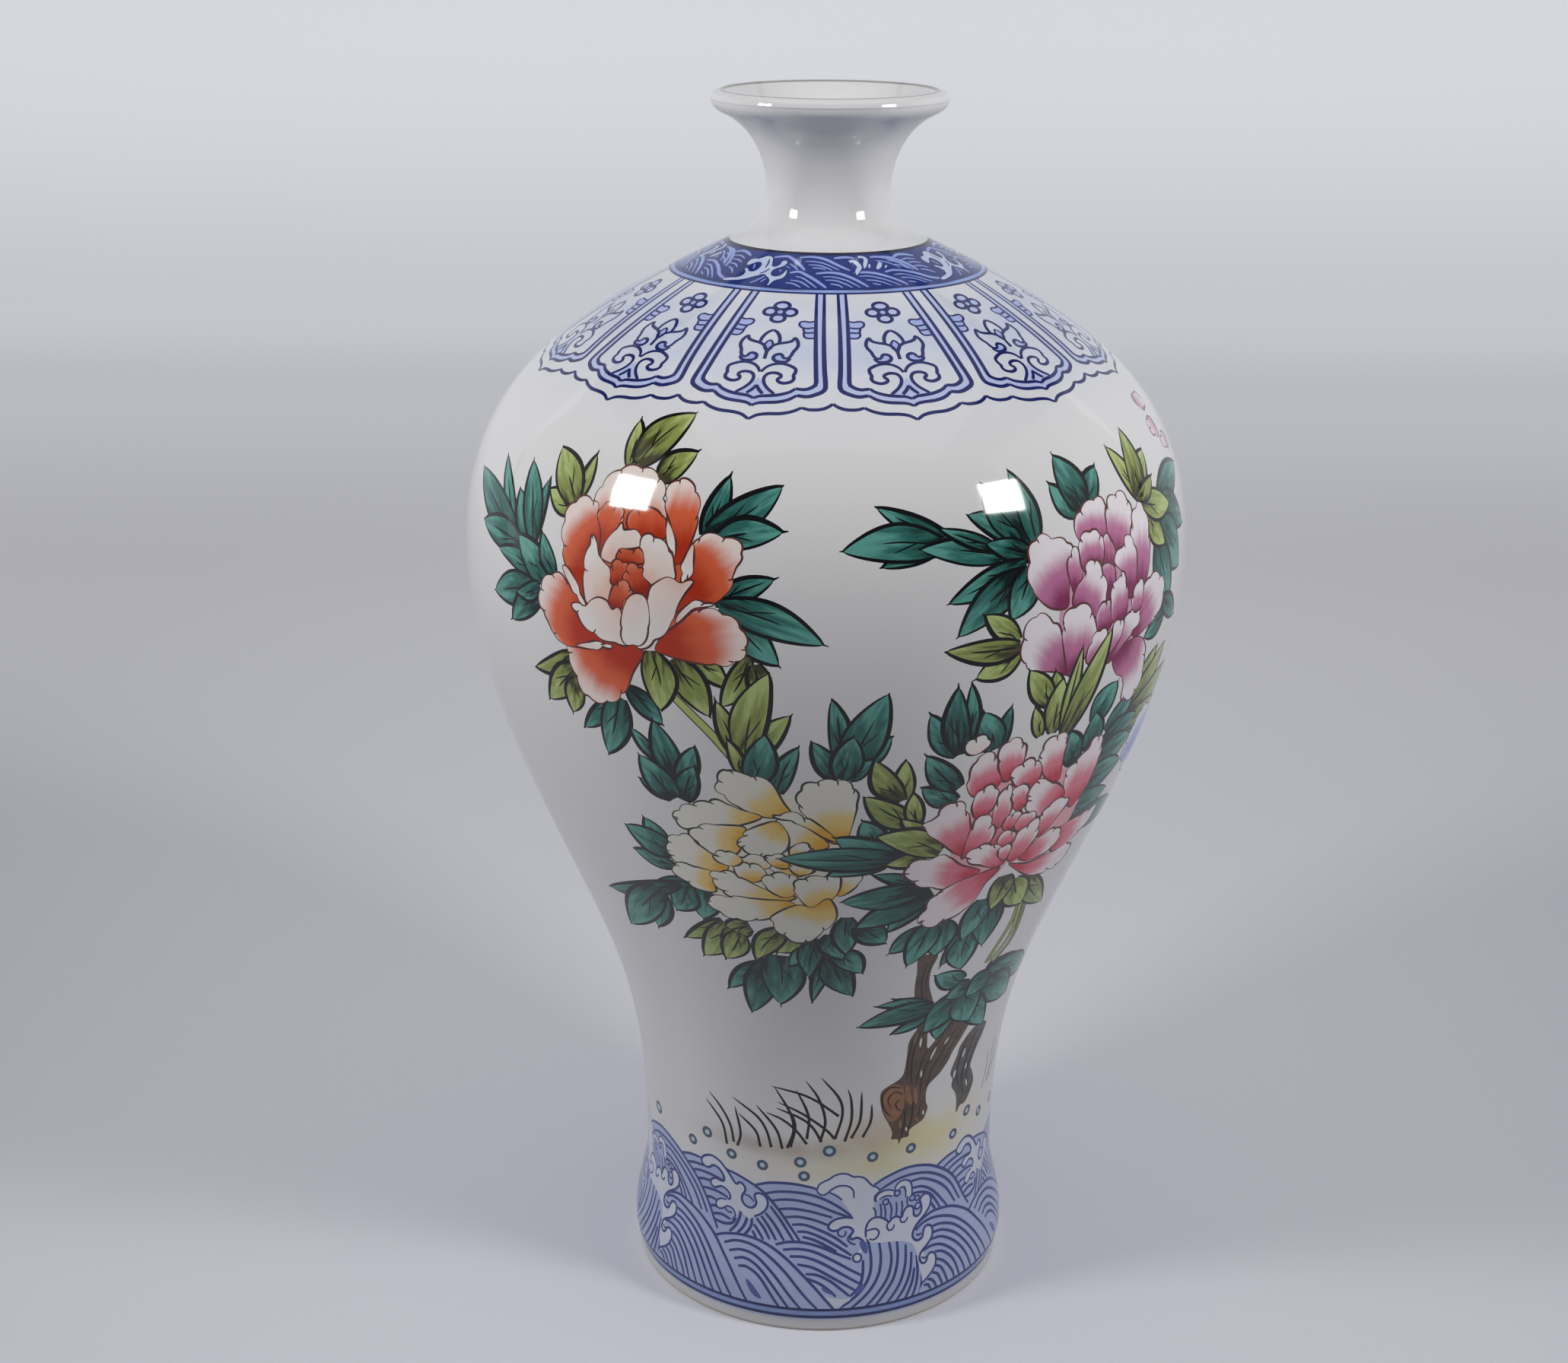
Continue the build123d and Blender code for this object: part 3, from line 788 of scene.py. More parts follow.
# Peonies. A petal is its base, its tip and its outline. A leaf is its base, its tip and its width
petal_seed_scale = 1000         # each petal and leaf has a seed of its own, worked out from its place
leaf_seed_weights = (131, 17, 7)
petal_line = 0.4
plum_line = 0.44
yellow_line = 0.44
pink_line = 0.5
pale_line = 0.5
uneven_line = 0.45              # how far a petal's edge line swells and thins
scallop_pitch = 5.6
scallop_depth = 0.9
scallop_roundness = 0.7
scallop_sink = 0.75             # share of the depth that the scallops lie below the drawn outline
scallop_wander = 0.25           # how far the scallops differ in width
scallop_sway = FULL_TURN / 57.3  # one sway of their widths round the petal, in radians of 57.3 degrees
scallop_start = 0.4             # share of the way from base to tip where the scallops set in
scallop_fade = 0.25
fewest_scallops = 3
fold_start = 0.6                # how full the scallops are where folds may begin
fold_chance = 0.6
fold_share = 0.3                # a fold's length, at most, as a share of the way to the base
fold_length = 3.4               # and in widths of its line
fold_taper = (0.9, 0.1)
leaf_line = 0.78
leaf_step = 1.1
leaf_fewest_steps = 8
leaf_taper = (0.6, 0.2)
leaf_bend = 0.08
leaf_fatness = (0.78, 1.0)
leaf_fullness = 0.8
leaf_base = 0.07                # how far a leaf's base is cut off
leaf_halves = (0.85, 1.1)       # width of one half, when the other is 1
leaf_overshoot = (0.3, 1.3)     # how far the bold line runs beyond the tip
rib_reach = (0.45, 0.9)
rib_fewest_steps = 4
vein_reach = 0.55
bold_weight = (1.2, 1.7)
fine_weight = (0.8, 1.2)
rib_weight = (0.55, 0.85)
vein_weight = 0.5
ground_columns = 28             # directions in which a flower's ground is measured
ground_window = 0.3             # radians to each side that count as one direction
ground_least = 0.5
stem_edge = 0.7
stem_taper = (0.8, 0.8)
coral_petals = [
    ((-30, 238.6), (-31, 255), [
        (-36.3, 246), (-37, 250), (-36.2, 254.5), (-33.5, 258.5), (-30, 259.5), (-27, 258.3),
        (-25.2, 255.5), (-24.3, 251), (-23.6, 246), (-27, 243.5), (-31, 244.5), (-34, 243.5)]),
    ((-34, 238), (-33, 254), [
        (-35.9, 246), (-35, 249.2), (-33, 249.6), (-31.2, 248.4), (-31, 246), (-32.4, 243), (-33.6, 239),
        (-34.8, 238.4), (-35.7, 242)]),
    ((-26, 241), (-27, 255), [
        (-30.4, 246), (-29.6, 249), (-27.4, 250), (-25, 249.4), (-23.6, 247), (-23.6, 243.6), (-26, 242.6),
        (-29, 243.4)]),
    ((-21.5, 239), (-21, 258), [
        (-24.5, 255.5), (-22.8, 258), (-20.8, 257), (-19.5, 255), (-18.8, 251), (-18.9, 247), (-19.5, 243),
        (-20.3, 239), (-22, 238), (-22.5, 243), (-23.5, 248), (-24.6, 252)]),
    ((-35.6, 236), (-42, 243), [
        (-42.3, 242), (-42, 246), (-40.5, 249), (-38.5, 250), (-36.3, 249), (-35.8, 246), (-34.6, 242),
        (-34.6, 236), (-35.8, 230), (-36.4, 226), (-38.6, 228), (-41, 234), (-41.8, 238)]),
    ((-19.8, 232), (-12, 242), [
        (-19, 243.5), (-17.5, 245.5), (-14.5, 245.5), (-12, 244), (-11.6, 241), (-12.6, 238.5),
        (-12.8, 235), (-14.5, 231), (-17.5, 228), (-20.5, 225.5), (-21, 230), (-20, 234), (-19.9, 239)]),
    ((-30, 217), (-35.6, 200.5), [
        (-40.3, 213.5), (-39.5, 207), (-38.5, 203), (-37.5, 200.8), (-34.5, 200), (-31.5, 202),
        (-29.5, 205.5), (-28.2, 210), (-26.3, 216), (-29, 218), (-33, 217), (-36.5, 214.6)]),
    ((-35.6, 219.5), (-46, 225), [
        (-46, 225.5), (-44.5, 229), (-42, 230.5), (-39.5, 229), (-37.5, 226.5), (-35.5, 222), (-33, 218.5),
        (-33, 216.5), (-36, 214.3), (-40, 213), (-43, 214.5), (-44, 217.5), (-46, 221)]),
    ((-23.2, 218.4), (-11, 223), [
        (-24.4, 217), (-23, 221), (-20.5, 224.5), (-18, 228), (-15, 228.3), (-12, 226), (-10.6, 221.5),
        (-11, 218), (-13, 215.5), (-16.5, 215), (-20, 215.3), (-22.5, 216)])]
coral_folds = [
    [(-19.2, 243), (-20.6, 238), (-20.2, 233.6), (-19, 236), (-18.8, 240)],
    [(-23.6, 248), (-22.1, 244), (-21.7, 239.6), (-22.8, 241), (-23.6, 245)],
    [(-21, 224.2), (-18, 228.4), (-15.4, 229.6), (-18, 230.2), (-20.6, 227)],
    [(-41.2, 232), (-38.6, 226.6), (-36.4, 224.4), (-37.4, 228), (-40, 232.4)],
    [(-38.4, 213.8), (-34, 216.4), (-31.6, 215.6), (-35.6, 213.8)]]
coral_heart = [
    ((-29, 236), (-28.6, 241), [
        (-30.9, 239.2), (-29.4, 239.8), (-27.8, 240.6), (-26.8, 239), (-26.6, 237.2), (-29, 236.2),
        (-31.2, 236.6)]),
    ((-30.4, 231), (-31, 238), [
        (-32.2, 235.4), (-31, 236.9), (-29.2, 236.4), (-29.4, 234), (-30, 231.6), (-31.8, 231),
        (-32, 233.4)]),
    ((-26.4, 230.4), (-28.6, 238), [
        (-29.7, 234.4), (-29, 236.3), (-27.8, 236.8), (-26.6, 236), (-26.6, 234.2), (-25, 232),
        (-25.4, 229.6), (-28.2, 230.6), (-29.7, 232.4)]),
    ((-31, 225), (-30, 233), [
        (-31.7, 229.6), (-31, 231.6), (-29.4, 232.3), (-28.2, 231), (-28.4, 229), (-29.6, 227.6),
        (-30, 225.4), (-32.2, 225.6)])]
coral_cup_back = [
    ((-30.6, 238), (-31.4, 250), [
        (-34, 236.6), (-33.7, 240), (-32.4, 243.2), (-31.2, 245.6), (-30.6, 244), (-29, 244.7),
        (-27.6, 243.4), (-27.3, 241), (-28.6, 240.1), (-30.4, 239.4), (-31.2, 238), (-31.8, 236)]),
    ((-26, 233), (-24, 248), [
        (-27.5, 240.4), (-27.3, 243), (-26, 244.2), (-24.6, 243.5), (-23.2, 242), (-22.2, 240),
        (-21.6, 237), (-21.4, 234.6), (-22.6, 234.2), (-24.2, 233), (-25.2, 231.6), (-26.2, 232.8),
        (-26.9, 235.2), (-26.6, 237.6)]),
    ((-32, 230), (-38, 240), [
        (-36.2, 241.4), (-35.2, 240), (-34.6, 238.2), (-33.6, 236), (-32.2, 234.6), (-31.5, 232),
        (-31.5, 229.6), (-32, 227), (-34, 226.4), (-36, 225), (-36.8, 228), (-37, 233), (-36.8, 237)])]
coral_cup_front = [
    ((-21, 236), (-26, 212), [
        (-25.8, 228), (-25.3, 231.6), (-24.2, 233.4), (-22.8, 234.7), (-21.6, 234.5), (-20.6, 233.8),
        (-19.2, 234.8), (-18.6, 234.2), (-19.8, 231.4), (-20.8, 228.4), (-21.4, 225.4), (-22.4, 222.2),
        (-23.8, 219.6), (-25.6, 217.4), (-27.4, 216.8), (-26.8, 222)]),
    ((-31, 228), (-38, 216), [
        (-39, 223.4), (-37.6, 224.6), (-36.2, 224.5), (-35.4, 226), (-34, 227.2), (-32.4, 226.8),
        (-31.5, 225), (-30.6, 225.8), (-29.9, 224.6), (-29.4, 220), (-28.8, 216.8), (-31.6, 216.8),
        (-34.6, 217.6), (-36.8, 219.6)]),
    ((-28, 232), (-28, 212), [
        (-30, 222), (-29.5, 226), (-28.6, 228.9), (-27.2, 230), (-25.9, 229.2), (-25.3, 226), (-25.4, 221),
        (-26.8, 217.4), (-29, 216.9), (-29.9, 219)])]
coral_leaves = [
    ("teal", [
        ((-52, 235), (-62.5, 253), 5), ((-52, 235), (-71.5, 246.3), 9.5), ((-50, 234), (-65, 235.3), 8),
        ((-48.6, 236), (-54.7, 247), 6.5), ((-48, 236), (-47.7, 252), 4.5),
        ((-48.4, 236), (-53.7, 254.5), 7.5), ((-46, 228), (-58, 231), 6), ((-45, 228), (-52.4, 236.4), 8),
        ((-42.8, 229.6), (-46.6, 239), 5), ((-46.6, 225), (-59, 219.6), 8.5),
        ((-45.8, 222.6), (-53.7, 214.5), 6.5), ((-46, 226), (-52, 222), 5)]),
    ("olive", [
        ((-40.4, 246), (-47, 249.6), 6), ((-40.6, 248), (-39.5, 260.4), 4),
        ((-40.6, 248), (-47.8, 260), 8.5), ((-32.6, 259), (-33.8, 271), 4.5),
        ((-30.6, 260), (-32.2, 267), 4), ((-26.4, 257), (-21, 264.8), 6.5),
        ((-31, 260), (-23.6, 274.6), 10)]),
    ("teal", [
        ((-17.4, 245), (-14.8, 259.6), 5.5), ((-17, 246), (-6.5, 257.8), 8),
        ((-15.6, 244.6), (-6, 247.2), 7.5), ((-15.5, 230), (-7, 236.4), 5.5),
        ((-13.6, 229), (-6.2, 216), 8.5), ((-14.6, 229.6), (0, 221.4), 8)]),
    ("teal", [
        ((-32, 202), (-39, 191.6), 5), ((-29.4, 206), (-24, 197.6), 6.5), ((-31, 203), (-35, 185.6), 9)]),
    ("olive", [
        ((-39.6, 211), (-48.5, 204), 5), ((-39, 207.6), (-46.2, 196.4), 7.5), ((-39, 205), (-41, 195), 6.5),
        ((-18, 216), (-13.5, 209.6), 6), ((-22, 215), (-16.4, 201.6), 8.5), ((-25, 216.6), (-24, 201.4), 9),
        ((-10.4, 217.6), (-14.6, 204.6), 6), ((-9.6, 216), (-8, 205), 6)]),
    ("olive", [
        ((-12, 190), (-15.4, 206), 5.5), ((-11.4, 191), (-4.6, 203.4), 6.5),
        ((-11.6, 190), (-7.6, 214), 9.5), ((-12.2, 186), (-14, 196), 3.6)]),
    ("teal", [((-7, 181), (-3.5, 195), 5.5), ((-10.4, 184), (-8.3, 198), 8.5)]),
    ("teal", [
        ((-26, 187), (-29.8, 195), 4), ((-23, 181), (-25.6, 198.4), 8), ((-22.4, 181), (-19.2, 192.8), 6),
        ((-24.4, 176), (-29.8, 180.4), 4.5), ((-22.4, 176), (-19.6, 187), 6.5),
        ((-24, 176), (-29, 187.6), 8)]),
    ("teal", [
        ((2.4, 190), (1.2, 208), 5), ((4, 190), (10, 197.6), 6.5), ((4, 190), (9.2, 209), 10),
        ((2.4, 186), (-1.6, 196.6), 5.5), ((3.8, 186), (7.3, 191.6), 5), ((2.8, 186), (4.4, 198), 8)])]
plum_petals = [
    ((43.5, 239), (44, 250), [
        (39.5, 243), (40.5, 246.5), (43, 248.5), (46, 249), (47.5, 246.5), (47, 243), (46, 239),
        (44.5, 236), (42, 237), (40.3, 239.5)]),
    ((47.5, 235), (51, 249), [
        (46.5, 243), (47.5, 247), (49, 248.5), (52, 248.5), (53.5, 245), (53, 241), (52, 236), (49, 233),
        (46.5, 235)]),
    ((54, 225), (56.5, 245), [
        (52.5, 240), (53.8, 243), (56, 244.5), (57.5, 242), (57.8, 238), (57.3, 232), (56.5, 227),
        (54.5, 222), (52.6, 224), (52.6, 231), (52, 236)]),
    ((37, 227), (31.5, 242), [
        (30.3, 238), (31, 241.5), (33, 243.3), (35.5, 242), (37.5, 241), (38.7, 238.5), (37.8, 234),
        (37.4, 229), (37, 225), (34, 225.6), (31.5, 229), (30.2, 233)]),
    ((38, 209), (29, 222), [
        (29, 219), (30, 223), (32, 225), (34, 223), (35.5, 221), (36.6, 217), (38, 212), (38.8, 207.5),
        (35, 209.4), (31, 211), (29.3, 214)]),
    ((53, 213.6), (63, 222), [
        (53.5, 221), (55, 224), (58, 226), (61, 224.5), (62.7, 221), (62.3, 217), (60.5, 214), (57, 212.5),
        (53.4, 211.6), (52, 214.5), (53.6, 218)]),
    ((50, 209.5), (56.6, 193), [
        (48, 207.5), (50, 210.5), (54, 211.3), (56.5, 209.5), (58, 206), (58.2, 202.5), (58.8, 199),
        (57.5, 194.5), (55.5, 193.3), (53.2, 194.5), (52.5, 198), (51.5, 201.5), (49.5, 203.4)]),
    ((47, 208.4), (53.8, 220), [
        (45.6, 208), (46.6, 213), (49, 216.5), (51.5, 219.5), (54, 219), (54.3, 215.5), (52.5, 213),
        (50, 210.5), (47.5, 207.6)]),
    ((45.8, 233), (45.8, 244), [
        (44, 233), (45, 238.4), (46.4, 240), (47.6, 236), (47.4, 232), (45.6, 230)]),
    ((38.2, 229), (38.8, 242), [
        (37.2, 234), (38, 237.5), (39.3, 238.8), (40.4, 236), (40, 231), (38.5, 227.6)]),
    ((42.5, 234), (42.5, 243), [
        (39.8, 238.5), (40.5, 241), (42.8, 242), (44.8, 240.5), (45.2, 237.5), (44.8, 234), (43, 231.6),
        (40.3, 233)]),
    ((51.4, 225), (51, 239), [
        (47.2, 232.5), (48, 235), (49.5, 236), (50.5, 238), (52.3, 237), (53.2, 233.5), (53, 228),
        (52, 223), (50.5, 223), (49.6, 228), (48.6, 230.4)]),
    ((45.6, 227), (45.4, 238), [
        (43.5, 231), (44.5, 233), (46.5, 232.5), (47.4, 230.5), (47, 226), (45, 224)]),
    ((39, 223), (43, 235), [
        (38, 226), (38.8, 229.5), (40.2, 231), (41, 234), (43, 235), (44.5, 231.5), (45.3, 227.5),
        (44.8, 223), (43, 220.6), (40, 222), (38.8, 223.6)]),
    ((45.4, 217), (45, 228), [
        (43, 221), (44.5, 224), (46.2, 223.5), (47, 219.5), (45.8, 216), (43.6, 216.6)]),
    ((49.4, 218.4), (48.2, 230), [
        (46.2, 224), (46.5, 227.5), (47.8, 228), (49, 230), (50.2, 227), (50.6, 222), (50, 218),
        (48, 216.6), (46.6, 219)]),
    ((53.6, 217), (53.4, 227), [
        (51.6, 222), (53, 225.5), (54.5, 226), (55, 223), (54.5, 219), (52.4, 218.4)]),
    ((38.6, 208.6), (39.6, 226), [
        (36.3, 222), (37.5, 224.5), (40, 225), (42, 223), (42.7, 219.5), (43.5, 216), (42, 212.4),
        (40, 209), (38.3, 207), (37.1, 212), (36.3, 217.5)]),
    ((44, 208), (44.2, 218), [
        (42.1, 214.6), (43.5, 217), (45.2, 217), (46.3, 214.4), (46, 210), (43.6, 208), (41.5, 210)]),
    ((48.4, 208), (48.4, 219), [
        (46.2, 213.6), (47.5, 217.5), (49.3, 218), (49.8, 215), (48.4, 211.4), (46.5, 210)])]
plum_leaves = [
    ("teal", [
        ((62, 241), (78, 247), 9), ((62, 241), (74.4, 232.4), 10), ((61, 237), (70.4, 223), 13),
        ((60, 234), (65.6, 217), 11), ((63.6, 214), (56.6, 209.8), 6), ((62, 218), (70, 210), 6)]),
    ("teal", [
        ((18, 245), (7.5, 253), 4.5), ((15.6, 241.6), (8, 239.2), 3.6), ((17, 243.6), (2.5, 243), 9),
        ((26, 240), (13.6, 243), 6.5), ((25, 242), (16.6, 247.4), 3.6), ((31, 241), (21.3, 250), 7),
        ((30.6, 243), (24.4, 257), 8), ((32, 242), (29.6, 259.4), 6), ((31, 239), (23.6, 243), 6),
        ((30, 237), (17.6, 230), 7), ((30, 235), (19, 222), 9), ((30.6, 236), (27.2, 224.4), 8)]),
    ("olive", [
        ((28.6, 219), (23, 226.4), 5.5), ((28.8, 215.6), (22, 211), 6.5),
        ((28.8, 217.6), (17.2, 218.6), 6.5)]),
    ("teal", [
        ((40.6, 246), (36.5, 254.8), 6), ((43, 247), (47.4, 256.4), 6), ((42, 247), (39.2, 261.2), 9)]),
    ("olive", [
        ((56.6, 245), (52.3, 260), 5.5), ((57, 247), (63, 256), 6.5), ((56.6, 246), (59, 263), 7.5),
        ((58, 241), (63, 231.4), 7), ((57, 244), (67.4, 240), 8.5), ((56, 245.4), (62.6, 249), 4.5)])]
plum_back_leaves = [
    ("olive", [
        ((57, 196), (63, 205), 6), ((56, 190), (67, 204), 9), ((57, 188), (72, 196), 9),
        ((56, 187), (64, 182), 8), ((58, 186), (70, 187), 8)]),
    ("teal", [
        ((44, 180), (41.4, 191), 7.5), ((46, 191), (50.6, 201), 9.5), ((47, 183), (46.6, 194), 8),
        ((51, 186), (57, 196), 9), ((50, 180), (61, 187), 10), ((50, 175), (62, 180), 10),
        ((48, 171), (62, 172), 10), ((46, 165), (61, 164), 10), ((50, 158), (74, 152), 9)])]
plum_front_leaves = [
    ("olive", [
        ((34.6, 192), (32.6, 201), 4), ((36.6, 201), (35.6, 209.4), 4.5), ((35.8, 200.4), (30.8, 211), 7),
        ((37, 192), (37.2, 207), 7.5), ((39, 192), (40.6, 214), 4.5), ((39.4, 190), (47, 216.4), 8)]),
    ("teal", [
        ((21.6, 194), (21.4, 210), 4), ((20.6, 191), (15.5, 203), 7), ((21, 191), (19.4, 209.4), 7),
        ((27.4, 191), (28.4, 202.4), 4), ((26.6, 191), (23.8, 202), 8.5), ((21.6, 177), (15.3, 182.4), 6),
        ((21.6, 181), (15.5, 191.6), 7)])]
yellow_petals = [
    ((-6, 175), (-15, 188), [
        (-16.5, 181), (-16, 185), (-14.5, 187.5), (-12, 186.5), (-9.5, 186), (-7.5, 184), (-6, 179),
        (-4.5, 174.4), (-7, 173.6), (-10, 174), (-13, 176), (-15, 178.5)]),
    ((2.6, 168), (0.4, 187), [
        (-3.8, 178), (-3.5, 182.5), (-2, 185), (2.5, 186), (5, 183.5), (5.5, 179), (5, 173), (4, 167),
        (2, 166), (0, 168.5), (-1.8, 173)]),
    ((-10, 172.6), (-21, 177.6), [
        (-25, 170), (-23, 174), (-19.5, 176.5), (-16.5, 177.7), (-13, 175.6), (-9.5, 173.8), (-13, 170.6),
        (-18, 168), (-21, 166.6), (-23.5, 167)]),
    ((-13.6, 164.6), (-22.6, 167), [
        (-22.5, 166), (-20, 169), (-16, 170), (-12.5, 170), (-12.9, 166.5), (-14, 161.6), (-16.5, 159.2),
        (-19, 160), (-21.5, 162.6)]),
    ((-17.4, 155.6), (-28, 161), [
        (-28, 158), (-27, 162.5), (-23.3, 165), (-21, 162), (-18.5, 159), (-16.4, 156.4), (-17.6, 153.4),
        (-22, 152.6), (-25.5, 154), (-27.5, 155.5)]),
    ((-19.6, 149.6), (-28, 152), [
        (-28, 151), (-26.5, 154.3), (-22, 154), (-19, 153), (-19.6, 149), (-20, 146), (-24, 146.3),
        (-26.5, 148.5)]),
    ((0, 166), (-6.4, 176), [
        (-8, 170), (-6, 174.5), (-3.5, 173.5), (-0.5, 169), (1.2, 165), (-2, 163.4), (-5.5, 165)]),
    ((-6, 172), (-12.4, 160), [
        (-14, 164.5), (-12.5, 168.5), (-9.5, 171.5), (-7, 172.5), (-5.3, 168), (-6, 163), (-9, 160.4),
        (-11.5, 161), (-13.5, 162.6)]),
    ((-4, 160), (-2.6, 168), [(-5.2, 164.5), (-2.5, 166), (-1.2, 163), (-2.4, 160), (-5, 160.6)]),
    ((-4, 156), (-9, 164), [
        (-9.4, 160), (-6.5, 161), (-3, 159.4), (-1, 156.6), (-4.5, 154.4), (-8.4, 156)]),
    ((-12, 155), (-12, 163), [
        (-15.2, 158.5), (-12, 161), (-8.8, 160.4), (-9, 157), (-12.5, 155.6), (-14.8, 155.6)]),
    ((-12, 152), (-13.4, 160), [
        (-15.4, 156.6), (-13, 158.3), (-10.5, 157.2), (-9.6, 154), (-12, 151.4), (-14.8, 152.6)]),
    ((-2, 169), (-4, 177), [
        (-7.8, 174.4), (-4.6, 175.8), (-2, 174), (0.6, 170.6), (2.8, 166.6), (0.4, 167.8), (-2.4, 171),
        (-5.2, 173)]),
    ((-13.6, 157), (-18.6, 161), [
        (-19, 159.4), (-16.8, 161.4), (-14.6, 160.6), (-13.6, 158.4), (-15.2, 156.4), (-17.6, 156.8)]),
    ((-7, 158), (-7.6, 163), [
        (-9.6, 160.8), (-7.6, 162), (-5.4, 160.8), (-4.6, 158.4), (-6.4, 157), (-8.6, 158)]),
    ((-3.4, 155), (-3.4, 160.6), [
        (-5.4, 158.6), (-3.6, 159.8), (-1.4, 158.4), (-1.6, 156), (-3.8, 155), (-5.2, 156.4)]),
    ((3.4, 149.4), (7, 157), [(2.8, 155.4), (5, 156.4), (7, 155), (6.5, 151.5), (4, 148), (2.6, 149)]),
    ((-7, 147), (-20, 153.6), [
        (-20.3, 151.5), (-19, 153.8), (-16, 154.3), (-13.5, 152), (-9.5, 149), (-4.5, 147.2), (-8.5, 144.6),
        (-14.5, 144.8), (-18.4, 146.4)]),
    ((-5.4, 146.6), (-8.6, 157), [
        (-10.5, 152.5), (-9, 155), (-6, 155.5), (-4, 153.5), (-4.3, 149), (-6.6, 146.8), (-9.5, 149)]),
    ((1, 144.6), (-2, 157), [
        (-5, 151), (-3.5, 154), (0, 155), (3.2, 154.5), (3.2, 149.5), (1.2, 145.5), (-2, 143.6),
        (-3.9, 146.6)]),
    ((-6, 145.4), (-20, 137.6), [
        (-22.3, 142), (-20.5, 144.5), (-17, 145.5), (-11, 145.6), (-6, 145.6), (-4.6, 143.4), (-8, 140),
        (-12, 137.7), (-16.5, 137), (-20, 138.5)]),
    ((-1.6, 145.6), (-4.6, 129.6), [
        (-9.7, 139), (-7, 142.5), (-4, 144.5), (-1.5, 143.8), (1.2, 147), (2.7, 144), (3, 140),
        (1.8, 136.5), (-0.7, 133), (-2.5, 130.3), (-5.5, 130.7), (-8.2, 133.5), (-9.3, 136.5)])]
yellow_leaves = [
    ("teal", [
        ((-27, 152.6), (-35.6, 155.3), 5.5), ((-27.4, 160), (-31, 167.6), 6.5),
        ((-26.6, 157.6), (-35.7, 163.2), 8.5), ((-22, 148), (-33, 145), 4), ((-22, 147), (-24, 135), 8),
        ((-25.6, 147), (-30, 136), 8.5), ((-27, 146.6), (-49, 135.2), 5.5),
        ((-32.6, 142.6), (-37, 126.8), 7), ((-32.6, 142), (-47, 123), 10)]),
    ("olive", [
        ((-14, 135), (-20.4, 132), 7), ((-19.6, 135.6), (-30, 126), 5), ((-19.4, 134), (-26.4, 120.6), 8),
        ((-16.4, 132), (-21, 121), 7), ((-5, 134), (-9, 126), 8), ((-7.6, 135), (-14, 122.6), 7)]),
    ("teal", [
        ((-11.6, 121.6), (-22, 109.6), 6), ((-11, 123), (-17, 101.8), 9), ((-8.6, 125), (-9.4, 106), 11.5)]),
    ("teal", [
        ((3, 127), (-1.8, 107.6), 4.5), ((-1, 129), (-6.6, 121), 5), ((2.6, 125), (7.6, 109.8), 8),
        ((3, 127), (9.3, 118.4), 7.5), ((0, 132), (-2.4, 117), 6.5), ((2, 134), (4.6, 124), 7),
        ((5, 140), (5.2, 126), 7), ((7, 137), (13.4, 129.4), 7.5)])]
right_leaves = [
    ("teal", [
        ((19, 148.6), (9, 155), 4.5), ((20.6, 145), (13.4, 133.6), 7), ((20.8, 147), (6.8, 136), 9.5),
        ((19, 148.4), (3.8, 145.6), 8.5)]),
    ("olive", [
        ((12.6, 179), (12.4, 191), 5.5), ((12.6, 179), (7.6, 191.2), 7), ((15, 171), (6.4, 180.6), 8),
        ((15.6, 170), (14.2, 181), 5), ((18.6, 163), (12.6, 173), 6)]),
    ("teal", [
        ((10, 164), (6.4, 173.2), 7), ((13.6, 161), (2.2, 167.8), 8), ((11, 158.4), (1, 155), 6),
        ((14, 160), (-7.2, 160.4), 7.5)]),
    ("olive", [((18, 160), (11, 158), 5), ((20.6, 160.6), (9, 168), 8.5)])]
